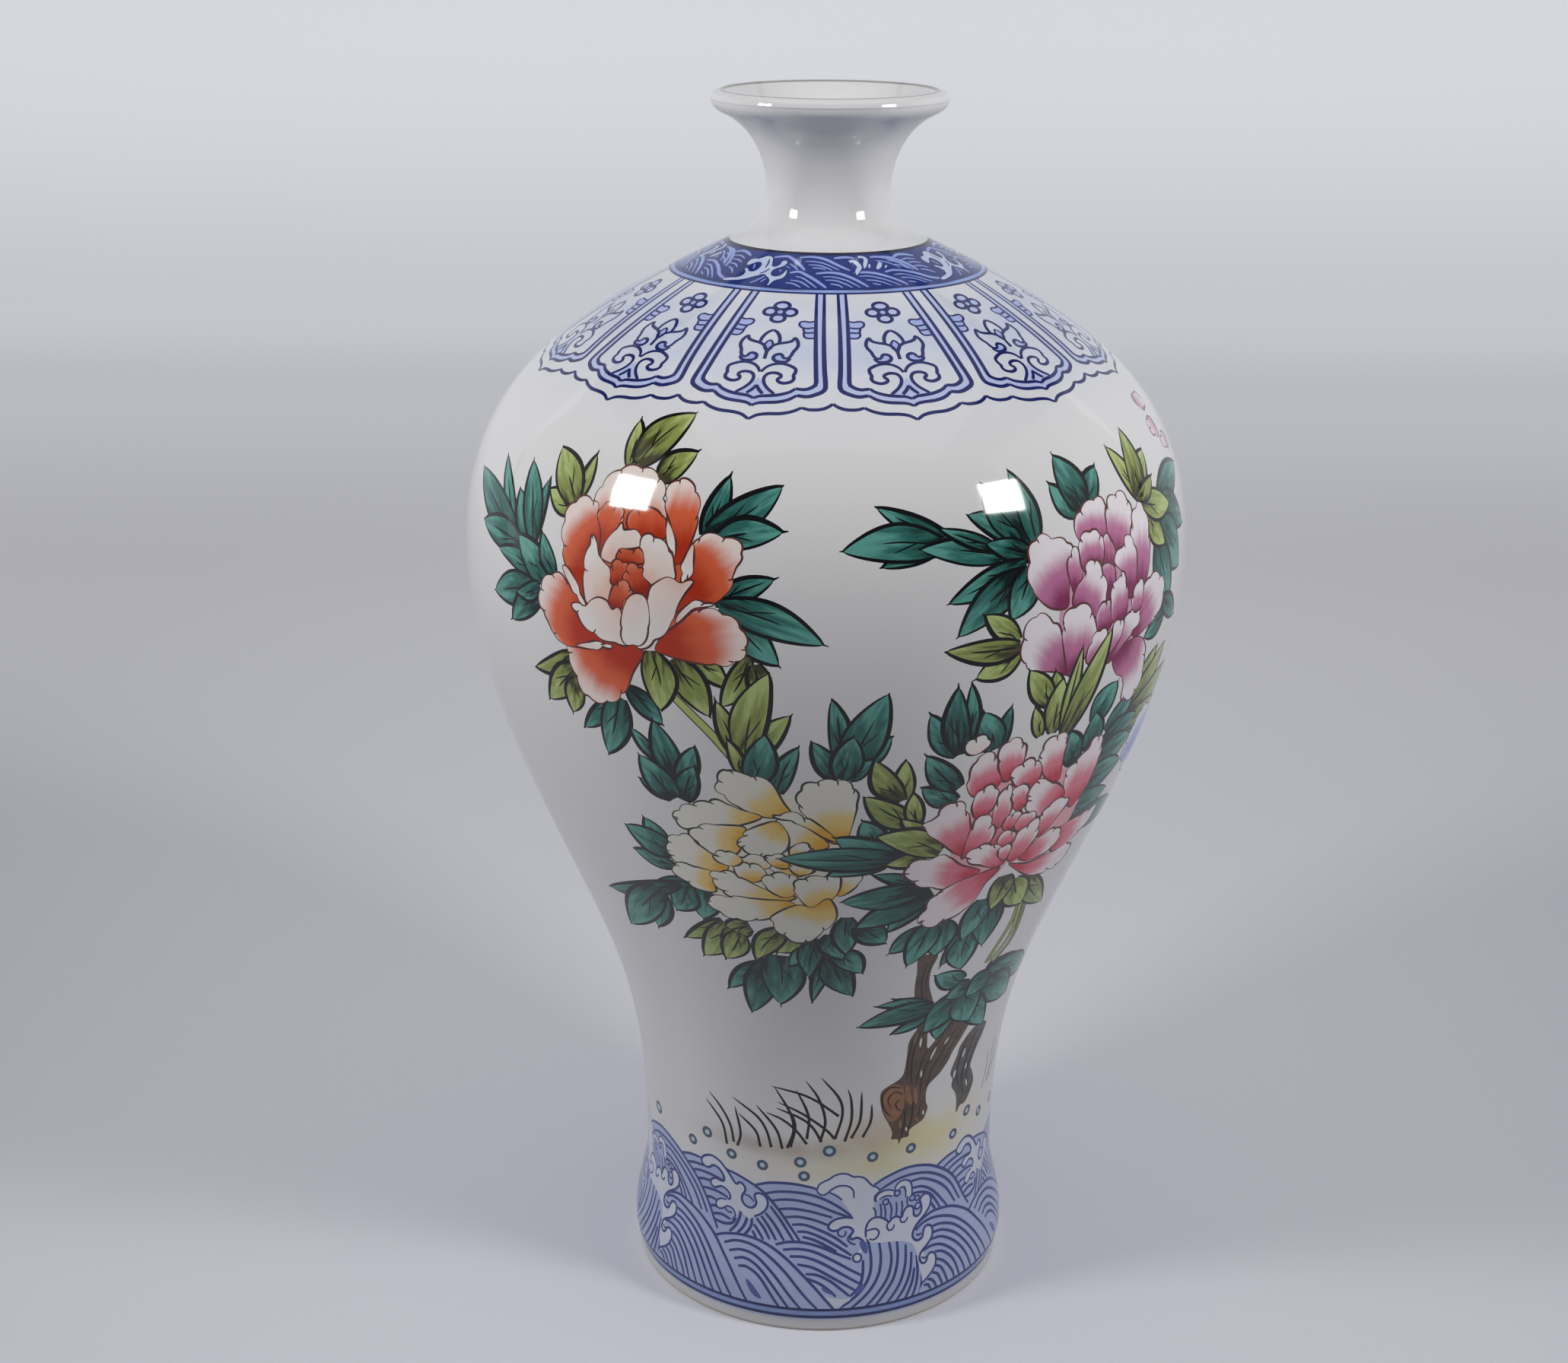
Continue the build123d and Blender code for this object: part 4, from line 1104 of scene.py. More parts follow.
pink_petals = [
    ((50, 166), (48.6, 188), [
        (43, 177.3), (44, 180), (46.7, 183), (48, 186), (49.8, 186), (51.2, 182.5), (51.8, 176.5),
        (51, 169.5), (48.7, 164.6), (46.4, 166.6), (44.2, 171)]),
    ((30.6, 182), (29, 194), [
        (27.3, 188), (27.8, 191.5), (29.5, 193.3), (31.5, 192), (32.5, 188.8), (32.2, 184), (30, 180.5),
        (28.1, 183)]),
    ((27, 179), (24.4, 191), [
        (23, 183.5), (23.3, 188), (25, 190.2), (27, 189.7), (27.8, 185.3), (28.9, 180.6), (26.4, 177),
        (24, 178), (22.8, 181.3)]),
    ((40.6, 178), (37.8, 192), [
        (35.5, 186), (36, 189.5), (38, 191.3), (40.5, 190.5), (41, 187), (41.2, 182.5), (41.7, 176.8),
        (40.3, 176.4), (38, 178.6), (36.2, 183)]),
    ((35.6, 177), (32.8, 187), [
        (30.6, 181.7), (31.5, 184.7), (33.7, 186), (35.5, 184.7), (36.9, 181.3), (36.4, 176), (34.2, 176.4),
        (31.8, 178.6)]),
    ((25.4, 160), (19, 177), [
        (16.3, 170.3), (18, 172), (19.2, 175.2), (21.4, 177), (23, 175.7), (24.7, 170.4), (25.6, 165.2),
        (25.8, 158), (23.5, 159.4), (21.4, 162.2), (19.2, 165.2), (17.2, 168)]),
    ((33, 158), (34.6, 174), [
        (30, 162), (31, 168), (33, 172), (36, 171.6), (38.6, 168.6), (40, 165), (36.6, 160.6), (34.8, 156),
        (32, 157)]),
    ((26.8, 170.6), (27, 182), [
        (24.6, 176.5), (25.5, 179.5), (27.3, 180.4), (28.8, 178.2), (28.8, 173), (26.4, 169.6), (24.7, 173)]),
    ((34.6, 170.6), (32.4, 180), [
        (31.7, 176.5), (33, 178.7), (34.8, 177.2), (35.6, 173), (34.4, 169.6), (32.5, 172)]),
    ((30.6, 164.6), (30.8, 181), [
        (28.9, 172), (29.3, 176.5), (30.8, 179.5), (32, 174.9), (32.6, 170.3), (31.3, 165.6), (29.4, 166.6)]),
    ((44, 169), (35.6, 177.6), [
        (35.3, 174), (36.4, 178.6), (39.3, 177), (42.3, 174.7), (44.7, 170.5), (43, 167.6), (40.5, 165.5),
        (38, 166.8), (35.8, 170)]),
    ((33, 164), (33, 172), [
        (31.6, 166), (32.4, 169), (34.4, 169.6), (35.6, 167.4), (34.6, 164.6), (32.6, 164)]),
    ((36.6, 162), (36.2, 171), [
        (34.4, 165), (35.4, 168), (37.6, 168.4), (39, 166), (37.6, 163), (35.4, 162.6)]),
    ((33.8, 158), (33.4, 166), [
        (31.6, 161), (32.4, 163.6), (34.4, 163.8), (35.6, 161.4), (34.6, 158.6), (32.4, 158.8)]),
    ((26, 158), (28.2, 173), [
        (25.2, 165), (25.8, 169.5), (27.7, 171.3), (29.5, 167.8), (30.6, 163.8), (29.5, 160), (26.7, 158.5),
        (25, 157.4)]),
    ((28.6, 151), (14.8, 156.6), [
        (14.7, 154.7), (15.5, 158.2), (19.2, 159), (21.7, 159.5), (23.6, 157.3), (25.5, 154.9), (30, 151.4),
        (26.8, 149.4), (23.6, 147), (20, 148.6), (17, 150.4)]),
    ((33, 150), (20.4, 134.4), [
        (19.5, 135.6), (20.2, 140.8), (21.4, 145.2), (25.5, 148.7), (30, 150.4), (34.4, 150.8), (32.4, 146),
        (31.2, 140.8), (29.3, 137.3), (26, 135.2), (23, 133.4)]),
    ((39, 149.6), (57, 144.4), [
        (36.4, 151.2), (39.3, 150), (43, 149), (50.5, 149.8), (54.3, 149.5), (56.8, 146), (55, 142),
        (51.2, 141.7), (45.5, 142.6), (41, 146)]),
    ((47.6, 153), (61, 157), [
        (46.6, 156.5), (49.3, 158.7), (55.5, 159), (60.5, 158.2), (59.3, 153), (54, 150), (48.3, 149.6)]),
    ((40, 151.4), (49.4, 157), [
        (38.6, 152.6), (41.4, 156.5), (44.3, 158.7), (46.7, 158.7), (49, 155.6), (48, 151.3), (45.5, 150),
        (41.4, 150)]),
    ((42.6, 158), (44.4, 171), [
        (40.5, 166.5), (42, 169), (45, 169.4), (46.7, 167.8), (45.5, 163.5), (43.6, 159.4), (41.4, 158),
        (40.2, 162)]),
    ((37.6, 151), (39, 167), [
        (35.5, 158.2), (36.4, 162.6), (39.3, 165.2), (40.9, 162.6), (41.2, 158.2), (39.4, 153.4),
        (36.8, 151.6), (35.3, 154.4)]),
    ((34.6, 151), (27.4, 161.6), [
        (25.8, 157.3), (27.4, 160.4), (30.5, 160.4), (33, 158.6), (35, 155.8), (35, 152), (32.7, 151.4),
        (30, 153), (27.4, 154.8)]),
    ((34.4, 152), (34, 161), [(32.7, 157.3), (34.3, 159), (35.5, 157.3), (35.2, 153), (33.3, 154.6)])]
pink_leaves = [
    ("teal", [
        ((22, 134), (14.6, 125.2), 7), ((25, 135), (25.8, 121.6), 9), ((22.6, 135), (19.4, 119.4), 8.5),
        ((31.4, 129), (28.2, 116.8), 5), ((33, 128), (34.6, 113.4), 9), ((35, 139), (39.2, 130), 6.5),
        ((34, 140), (38.6, 120.8), 9.5), ((33, 140), (31.4, 125.6), 8)]),
    ("olive", [((42, 144), (56, 128), 8), ((40, 144), (46, 132.6), 9), ((36.8, 147), (36.6, 134.6), 8)])]
white_bud = ((24, 188), (23.4, 197), [
    (21.5, 192), (22, 194.8), (23.6, 195.8), (25.2, 194.8), (25.6, 192.4), (24, 190.6), (22.4, 190.4)])
blue_petals = [
    ((70, 172), (64, 187), [
        (62, 175), (62.6, 182), (65.4, 186.6), (69, 185), (71, 180), (70, 174), (66.6, 169.6), (63.4, 171)]),
    ((71, 172), (78, 182), [
        (70, 178), (72, 184), (76, 185), (79.6, 181), (79, 174), (75, 169), (71, 170)]),
    ((70, 174), (71, 164), [(65, 171), (68.6, 175), (73, 174.6), (76, 170), (73, 165), (68, 165)])]
edge_petals = [
    ((72, 266.4), (78.4, 264.6), [
        (72.2, 266.2), (73.2, 267.8), (75.2, 268.2), (77.2, 267.4), (78.2, 265.6), (77.4, 263.8),
        (75.4, 262.9), (73.6, 263.6)]),
    ((75.8, 259), (71, 258.6), [
        (75.8, 259.4), (74.8, 261), (73, 261.3), (71.4, 260.2), (71, 258.4), (71.8, 256.6), (73.6, 255.6),
        (75.2, 256.4)]),
    ((79.8, 253), (74.4, 253), [
        (79.8, 253.6), (78.6, 255.2), (76.4, 255.6), (74.6, 254.6), (74.4, 252.8), (75.6, 251.6),
        (77.6, 251), (79.2, 251.8)])]
low_leaves = [
    ("teal", [
        ((44, 110), (63, 104), 8), ((43, 107), (71, 98), 10), ((37, 108), (27.6, 113.4), 7),
        ((44, 103), (63, 92), 10), ((41, 100), (53, 86), 9), ((36, 101), (33.6, 88), 9),
        ((29, 102), (18, 107), 3), ((30, 99.6), (19, 93.6), 4), ((28.6, 102), (14, 104.8), 4),
        ((30, 101), (10, 97.6), 7.5), ((38, 104), (29, 91.6), 10), ((40, 104), (45, 90.6), 11),
        ((40, 106), (33, 103), 7), ((47, 107), (40, 101), 9)])]
stem_paths = [
    ([(-22, 206), (-17, 198), (-14, 192), (-11, 185)], 1.9), ([(43, 142), (46, 127), (43, 112)], 1.3),
    ([(45, 138), (48, 121), (44.5, 112)], 1.2), ([(47, 136), (49.8, 119), (46, 111)], 1.1)]


def scalloped(edge, base, along):
    """A closed outline with scallops on the part away from its base, and the places where they meet."""
    rng = random.Random(int(petal_seed_scale * edge[0, 0]) + len(edge))
    step = np.hypot(*(np.roll(edge, -1, 0) - edge).T)
    run = np.concatenate([[0], np.cumsum(step)[:-1]])
    turn = run / step.sum()
    lobes = max(fewest_scallops, round(step.sum() / scallop_pitch))
    sway = np.sin(scallop_sway * (turn + rng.random()))
    phase = lobes * turn + scallop_wander * sway + rng.random()
    far = np.clip(((edge - base) @ along - scallop_start) / scallop_fade, 0, 1)
    lift = scallop_depth * (np.abs(np.sin(np.pi * phase)) ** scallop_roundness - scallop_sink) * far
    ahead = directions(np.roll(edge, -1, 0) - np.roll(edge, 1, 0))
    out = np.stack([ahead[:, 1], -ahead[:, 0]], -1)
    spread = (edge * out).sum(1).mean() - (edge.mean(0) * out).sum(1).mean()
    shape = edge + np.sign(spread) * lift[:, None] * out
    meets = np.flatnonzero((np.floor(phase) != np.floor(np.roll(phase, 1))) & (far > fold_start))
    return shape, [shape[k] for k in meets if rng.random() < fold_chance]


def petal(canvas, pigment, base, tip, outline, line="umber", width=petal_line):
    """A petal, deep at its base and pale at its scalloped rim, with an edge line and short folds."""
    flat, scale = in_mm(outline)
    start, end = np.array([base, tip]) * scale
    length = np.hypot(*(end - start))
    along = (end - start) / length
    edge, folds = scalloped(smooth(flat, step=0.6, closed=True)[:-1], start, along / length)
    reach = np.abs((edge - start) @ (-along[1], along[0])).max()
    canvas.fill(edge / scale, pigment, (base, tip), reach)
    canvas.fill(ribbon(np.concatenate([edge, edge[:1]]), width, EVEN, True, uneven_line) / scale, line)
    for place in folds:
        toward = start - place
        fold_end = place + toward * min(fold_share, fold_length * width / np.hypot(*toward))
        canvas.fill(ribbon(smooth([place, fold_end], step=0.5), width, fold_taper) / scale, line)


def petals_of(canvas, pigment, petals, line="umber", width=petal_line):
    """Petals of one colour, each laid over the one before."""
    for base, tip, outline in petals:
        petal(canvas, pigment, base, tip, outline, line, width)


def flower_ground(canvas, pigment, petals, share):
    """A plain patch under a flower, so that nothing shows between its petals."""
    edge = np.concatenate([np.array(outline, float) for _, _, outline in petals])
    scale = (degree_mm(edge[:, 1].mean()), 1)
    away = edge * scale - edge.mean(0) * scale
    turn = np.arctan2(away[:, 1], away[:, 0])
    outline = []
    for angle in np.linspace(-np.pi, np.pi, ground_columns, endpoint=False):
        apart = np.abs((turn - angle + np.pi) % (2 * np.pi) - np.pi)
        near = apart < ground_window
        reach = share * np.hypot(*away[near].T).max() if near.any() else ground_least
        outline.append(edge.mean(0) + np.array((math.cos(angle), math.sin(angle))) * reach / scale)
    canvas.fill(outline, pigment)


def flower_of(canvas, pigment, petals, line="umber", width=petal_line, ground_share=0.6):
    """A whole flower of one colour."""
    flower_ground(canvas, pigment, petals, ground_share)
    petals_of(canvas, pigment, petals, line, width)


def leaf(canvas, pigment, base, tip, width, line="ink"):
    """A pointed leaf with a bold uneven outline, a midrib and one vein."""
    scale = (degree_mm((base[1] + tip[1]) / 2), 1)
    start, end = np.array(base) * scale, np.array(tip) * scale
    length = np.hypot(*(end - start))
    along = (end - start) / length
    side = np.array((-along[1], along[0]))
    a, b, c = leaf_seed_weights
    rng = random.Random(int(a * base[0] + b * tip[0] + c * tip[1]))
    bend = rng.uniform(-leaf_bend, leaf_bend) * length
    fat = rng.uniform(*leaf_fatness)
    t = np.linspace(0, 1, max(leaf_fewest_steps, int(length / leaf_step)))[:, None]
    spine = start + t * length * along + bend * np.sin(np.pi * t) * side
    half = width / 2 * np.sin(np.pi * (leaf_base + (1 - leaf_base) * t) ** fat) ** leaf_fullness
    left, right = spine + half * side, spine - half * side * rng.uniform(*leaf_halves)
    canvas.fill(np.concatenate([left, right[::-1]]) / scale, pigment, (base, tip), width / 2)
    rib = spine[1:max(rib_fewest_steps, int(len(spine) * rng.uniform(*rib_reach)))]
    bold, fine = rng.sample((left, right), 2)
    bold = np.concatenate([bold, [end + along * rng.uniform(*leaf_overshoot)]])
    quarter, middle = len(spine) // 4, len(spine) // 2
    vein_end = spine[middle] + rng.choice((-vein_reach, vein_reach)) * half[middle] * side
    strokes = (
        (bold, rng.uniform(*bold_weight)),
        (fine, rng.uniform(*fine_weight)),
        (rib, rng.uniform(*rib_weight)),
        (smooth([spine[quarter], vein_end], step=1.0), vein_weight),
    )
    for run, weight in strokes:
        canvas.fill(ribbon(run, leaf_line * weight, leaf_taper) / scale, line)


def sprays(canvas, groups):
    """Leaves in groups of one colour each."""
    for pigment, leaves in groups:
        for base, tip, width in leaves:
            leaf(canvas, pigment, base, tip, width)


def stems(canvas):
    """Green stems between the flowers."""
    for path, width in stem_paths:
        canvas.brush(path, width + stem_edge, "ink_soft", stem_taper, step=1.0)
        canvas.brush(path, width, "stem", stem_taper, step=1.0)


def peonies(canvas):
    """The flowering branch, laid from the leaves at the back to the flowers in front."""
    stems(canvas)
    sprays(canvas, coral_leaves)
    flower_of(canvas, "coral", coral_petals)
    for fold in coral_folds:
        petal(canvas, "coral_cup", fold[0], fold[2], fold)
    petals_of(canvas, "coral_cup", coral_cup_back)
    petals_of(canvas, "coral_heart", coral_heart)
    petals_of(canvas, "coral_cup", coral_cup_front)
    sprays(canvas, plum_back_leaves)
    flower_of(canvas, "bluebud", blue_petals)
    petals_of(canvas, "blush", edge_petals, "mauve", pale_line)
    sprays(canvas, plum_leaves)
    flower_of(canvas, "plum", plum_petals, width=plum_line)
    sprays(canvas, plum_front_leaves)
    sprays(canvas, yellow_leaves)
    flower_of(canvas, "yellow", yellow_petals, "ink_soft", yellow_line, ground_share=0.8)
    sprays(canvas, right_leaves)
    sprays(canvas, pink_leaves)
    flower_of(canvas, "pink", pink_petals, width=pink_line)
    petals_of(canvas, "coral_cup", [white_bud], "ink_soft", pale_line)


# Trunk and grass at the waterside. A stroke is its path and its width
trunk_step = 0.9
grass_line = 0.8
far_grass_line = 0.45
upper_trunk = [
    (22, 122), (26.5, 122), (26, 116), (26.8, 110), (29, 104), (31.5, 98), (28, 93), (26, 95), (24.5, 102),
    (23, 109), (22.4, 116)]
main_trunk = [
    (27.5, 95), (25, 90), (25, 85), (25, 80), (24, 77), (19, 74.2), (18.2, 71.7), (19, 67.5), (20, 65),
    (21.5, 62.5), (23, 59.2), (22.8, 57), (25, 56.7), (25.5, 54.8), (26.5, 56.7), (28.8, 56.7), (29, 58.8),
    (32.5, 60.4), (34, 61.2), (35, 64.6), (34, 66.7), (34, 71.7), (38, 75), (40.5, 78.3), (41.5, 80.8),
    (44, 85), (46, 89.2), (46.5, 92.5), (39, 93), (36, 90), (33.5, 87.5), (31.5, 85.4), (30.5, 90),
    (29.8, 95)]
cut_knot = [
    (18.4, 71.6), (19.2, 67.6), (20.4, 65.2), (22, 63), (24.4, 63.4), (26, 66), (26.2, 70), (25, 74),
    (22.4, 75.2), (19.4, 74)]
side_trunk = [
    (49, 86.5), (44.5, 82), (44, 79), (42.5, 73.3), (44, 70.8), (44, 68.3), (46.5, 65), (47.5, 61.7),
    (48, 58), (49.5, 60), (52, 60), (54, 62), (55.5, 65.8), (53.5, 70), (52, 72.5), (53.5, 78.3), (55, 82),
    (55, 86)]
warm_streaks = [
    ([(26.6, 73.6), (27.4, 70), (29, 67)], 1.8), ([(29.4, 72.4), (30, 69.6), (30.6, 66.6)], 1.2),
    ([(25.4, 63), (25.6, 60)], 0.9), ([(30.6, 62.4), (32, 60.8)], 0.8), ([(27.2, 92), (26.6, 88)], 0.6)]
bark_strokes = [
    ([(28, 93), (27, 86), (27.2, 79), (28.4, 73)], 0.6), ([(31.4, 85), (30, 79), (29.4, 73)], 0.6),
    ([(36, 89), (33, 82), (31.4, 75), (31.6, 68)], 0.6),
    ([(41, 90), (37.6, 83), (34.4, 77), (33.4, 70)], 0.6), ([(44, 90), (40, 82), (36.6, 76)], 0.5),
    ([(26, 90), (25.8, 82), (26.2, 76)], 0.5), ([(26.6, 66), (27, 61), (26, 57)], 0.7),
    ([(29.2, 68), (29.4, 63), (28.4, 58)], 0.7), ([(32, 66), (32, 62)], 0.5),
    ([(24.6, 73.8), (21, 74.4), (18.8, 71.6), (20, 67), (22.6, 64.4)], 0.7),
    ([(25.4, 71.4), (22.6, 72.6), (20.8, 70.4), (22, 67.4)], 0.5),
    ([(24.6, 69.8), (23.4, 68.6), (24.4, 66.4), (26, 66)], 0.45),
    ([(24.4, 119), (24.4, 112), (26, 105), (28.6, 98)], 0.6),
    ([(25.8, 120), (25.4, 113), (26.6, 107)], 0.4), ([(47, 84), (45.6, 78), (45.6, 72), (48, 66)], 0.7),
    ([(51, 85), (49, 77), (48.4, 70), (50.4, 63)], 0.8),
    ([(53.6, 84), (51.6, 77), (50.6, 71), (53, 64)], 0.6)]
pale_flecks = [
    ([(28.6, 90), (28.8, 86.6)], 0.7), ([(34.6, 85), (33.2, 81)], 0.7), ([(30.8, 78), (31, 75.6)], 0.6),
    ([(38.6, 87), (37.4, 85)], 0.6), ([(27.6, 60), (28, 58.6)], 0.7), ([(33.4, 64), (33.6, 62.4)], 0.6),
    ([(44.6, 73.6), (44.4, 71)], 0.8), ([(47.2, 80), (46.8, 77)], 0.7), ([(51, 68), (52, 65.4)], 0.6),
    ([(49.6, 74), (49.4, 72)], 0.6)]
grass = [
    [(-29.5, 53.3), (-31, 60), (-36.5, 66.2)], [(-27, 54.6), (-28, 60), (-31, 65), (-35, 69)],
    [(-25.8, 53.7), (-24.5, 58.3), (-26, 66.7)], [(-18, 55), (-19.5, 60), (-25, 64.6)],
    [(-14.5, 55.4), (-16, 60.8), (-19, 65), (-26.7, 69.6)], [(-11, 55.4), (-13, 61.7), (-19, 68.7)],
    [(-9.5, 55.8), (-7.5, 61.7), (-8.5, 67.5), (-13, 75.8)], [(-8.5, 56.2), (-7, 63.3), (-9, 69.2)],
    [(-3.5, 57.5), (-7, 62), (-11, 65), (-16, 66.7)], [(1, 58.3), (-2, 63.3), (-6, 66.2), (-13, 68.7)],
    [(5, 59.2), (2, 62.5), (-5, 67.5), (-12.5, 70.8)], [(0.5, 58.3), (2, 65), (0, 72.5), (-3.8, 78.7)],
    [(-3.5, 59.2), (-3, 66.7), (-6.5, 75.4)], [(5, 59.2), (7, 66.7), (6, 72.5), (0.5, 80)],
    [(8, 58.3), (9.8, 65), (9.5, 71.7), (8.3, 75.8)], [(10, 59.2), (12.5, 65), (12.5, 74.6)],
    [(13.5, 59.2), (15.8, 64.2), (15.8, 70)], [(6, 66.7), (-0.5, 71.7), (-6, 74.2), (-14, 75.8)]]
far_grass = [
    [(63, 60), (64.4, 66), (63.4, 73)], [(66, 60), (67.4, 67), (66.4, 76)],
    [(69.4, 61), (70.4, 68), (68.4, 75)], [(67, 60), (69, 65), (73, 69)]]


def brush_all(canvas, paths, pigment, taper, step):
    """Strokes of one kind, each with a width of its own."""
    for path, width in paths:
        canvas.brush(path, width, pigment, taper, step)


def tree(canvas):
    """The trunk of the peonies, with its cut knot and bark strokes."""
    patch(canvas, upper_trunk, "bark", step=trunk_step)
    patch(canvas, side_trunk, "bark_grey", step=trunk_step)
    patch(canvas, main_trunk, "bark", step=trunk_step)
    brush_all(canvas, warm_streaks, "bark_warm", taper=(0.3, 0.3), step=0.6)
    patch(canvas, cut_knot, "bark_warm", step=trunk_step)
    brush_all(canvas, bark_strokes, "bark_line", taper=(0.5, 0.1), step=0.8)
    brush_all(canvas, pale_flecks, "glaze", taper=(0.2, 0.2), step=0.4)


def waterside(canvas):
    """Grass by the water."""
    for path in grass:
        canvas.brush(path, grass_line, "ink", taper=(1.1, 0.05))
    for path in far_grass:
        canvas.brush(path, far_grass_line, "ink_soft", taper=(0.8, 0.05))


def decorate(canvas):
    """Everything painted on the vase, in the order it is laid."""
    wave_band(canvas)
    spray_bubbles(canvas)
    waterside(canvas)
    tree(canvas)
    sprays(canvas, low_leaves)
    peonies(canvas)
    for k in range(lappet_count):
        lappet(canvas, lappet_phase + lappet_pitch / 2 + k * lappet_pitch - HALF_TURN)
    collar_band(canvas)


# The painted skin: the unrolled surface, cut along every painted edge and rolled up
flat_degree = 1.3               # units of the flat drawing in one degree, so that its triangles are even
chart_run = 340.0               # run that fills the height of the unrolled chart
glaze_depth = 0.03              # the painted skin lies this far inside the turned outline
grid_rise = 3.0
ring_columns = 120
crease_angle = 40
seam_digits = 4                 # places on the back line are matched to this many decimals
middle_tone = 0.5               # place along a shape that has no axis
plain_brush = (middle_tone, 0, 0)
plain_chart = (0.5, 0.98)       # a place on the chart that holds no wash


def surface(degrees, run):
    """Points and normals of the outside, in metres, for places on the unrolled surface."""
    turn = np.radians(degrees)
    radius = radius_at(run) - glaze_depth
    height = np.interp(run, outer_run, outer[:, 1])
    lean = np.interp(run, outer_run, outer_lean)
    points = np.stack([radius * np.sin(turn), -radius * np.cos(turn), height], -1) * MM
    normals = np.stack([np.cos(lean) * np.sin(turn), -np.cos(lean) * np.cos(turn), np.sin(lean)], -1)
    return points, normals


def winding(outline, places):
    """How many times an outline goes round each place."""
    x, y = places[:, 0, None], places[:, 1, None]
    ax, ay = outline[:, 0], outline[:, 1]
    bx, by = np.roll(ax, -1), np.roll(ay, -1)
    left_of = (bx - ax) * (y - ay) - (x - ax) * (by - ay)
    up = (ay <= y) & (by > y) & (left_of > 0)
    down = (ay > y) & (by <= y) & (left_of < 0)
    return up.sum(1) - down.sum(1)


def round_the_back(shapes):
    """The shapes, and a copy of each that crosses the back line, one turn on."""
    out = []
    for points, pigment, axis, width in shapes:
        out.append((points, pigment, axis, width))
        turns = []
        if points[:, 0].max() > HALF_TURN:
            turns.append(-FULL_TURN)
        if points[:, 0].min() < -HALF_TURN:
            turns.append(FULL_TURN)
        for x in turns:
            out.append((points + (x, 0), pigment, axis and tuple(shifted(axis, x)), width))
    return out


def cut_skin(shapes, low, high):
    """Cut the unrolled surface along every painted edge. Gives places, triangles and top shapes."""
    places, edges = [], []

    def outline(points, closed=True):
        first = len(places)
        places.extend((x * flat_degree, y) for x, y in points)
        last = len(places)
        edges.extend((k, k + 1) for k in range(first, last - 1))
        if closed:
            edges.append((last - 1, first))

    columns = np.linspace(-HALF_TURN, HALF_TURN, grid_columns + 1)
    rows = np.linspace(low, high, max(2, round((high - low) / grid_rise)) + 1)
    outline([(x, low) for x in columns] + [(x, high) for x in columns[::-1]])
    for x in columns[1:-1]:
        places.extend((x * flat_degree, y) for y in rows[1:-1])
    for side in (columns[0], columns[-1]):
        outline([(side, y) for y in rows], False)
    for points, *_ in shapes:
        outline(points)
    flat, _, triangles, *_ = delaunay_2d_cdt([Vector(p) for p in places], edges, [], 0, CLOSE)
    flat = np.array([tuple(p) for p in flat]) / (flat_degree, 1)
    triangles = np.array(triangles)
    centres = flat[triangles].mean(1)
    kept = (abs(centres[:, 0]) < HALF_TURN) & (centres[:, 1] > low) & (centres[:, 1] < high)
    triangles, centres = triangles[kept], centres[kept]
    return flat, triangles, top_shapes(shapes, centres)


def top_shapes(shapes, centres):
    """The number of the shape that lies on top at each place, or -1 where there is none."""
    top = np.full(len(centres), -1)
    order = np.argsort(centres[:, 0])
    sorted_x = centres[order, 0]
    for number, (points, *_) in enumerate(shapes):
        start, stop = np.searchsorted(sorted_x, (points[:, 0].min(), points[:, 0].max()))
        near = order[start:stop]
        run = centres[near, 1]
        near = near[(run > points[:, 1].min()) & (run < points[:, 1].max())]
        if len(near):
            top[near[winding(points, centres[near]) != 0]] = number
    return top


def brush_place(place, axis, width, seed):
    """Where a place lies in its shape: along its axis, across it, and a number of the shape's own."""
    if axis is None:
        return (middle_tone, 0.0, seed)
    (ax, ay), (bx, by) = axis
    scale = degree_mm((ay + by) / 2)
    dx, dy = (bx - ax) * scale, by - ay
    length = math.hypot(dx, dy)
    px, py = (place[0] - ax) * scale, place[1] - ay
    return ((px * dx + py * dy) / length ** 2, (py * dx - px * dy) / (length * (width or length)), seed)


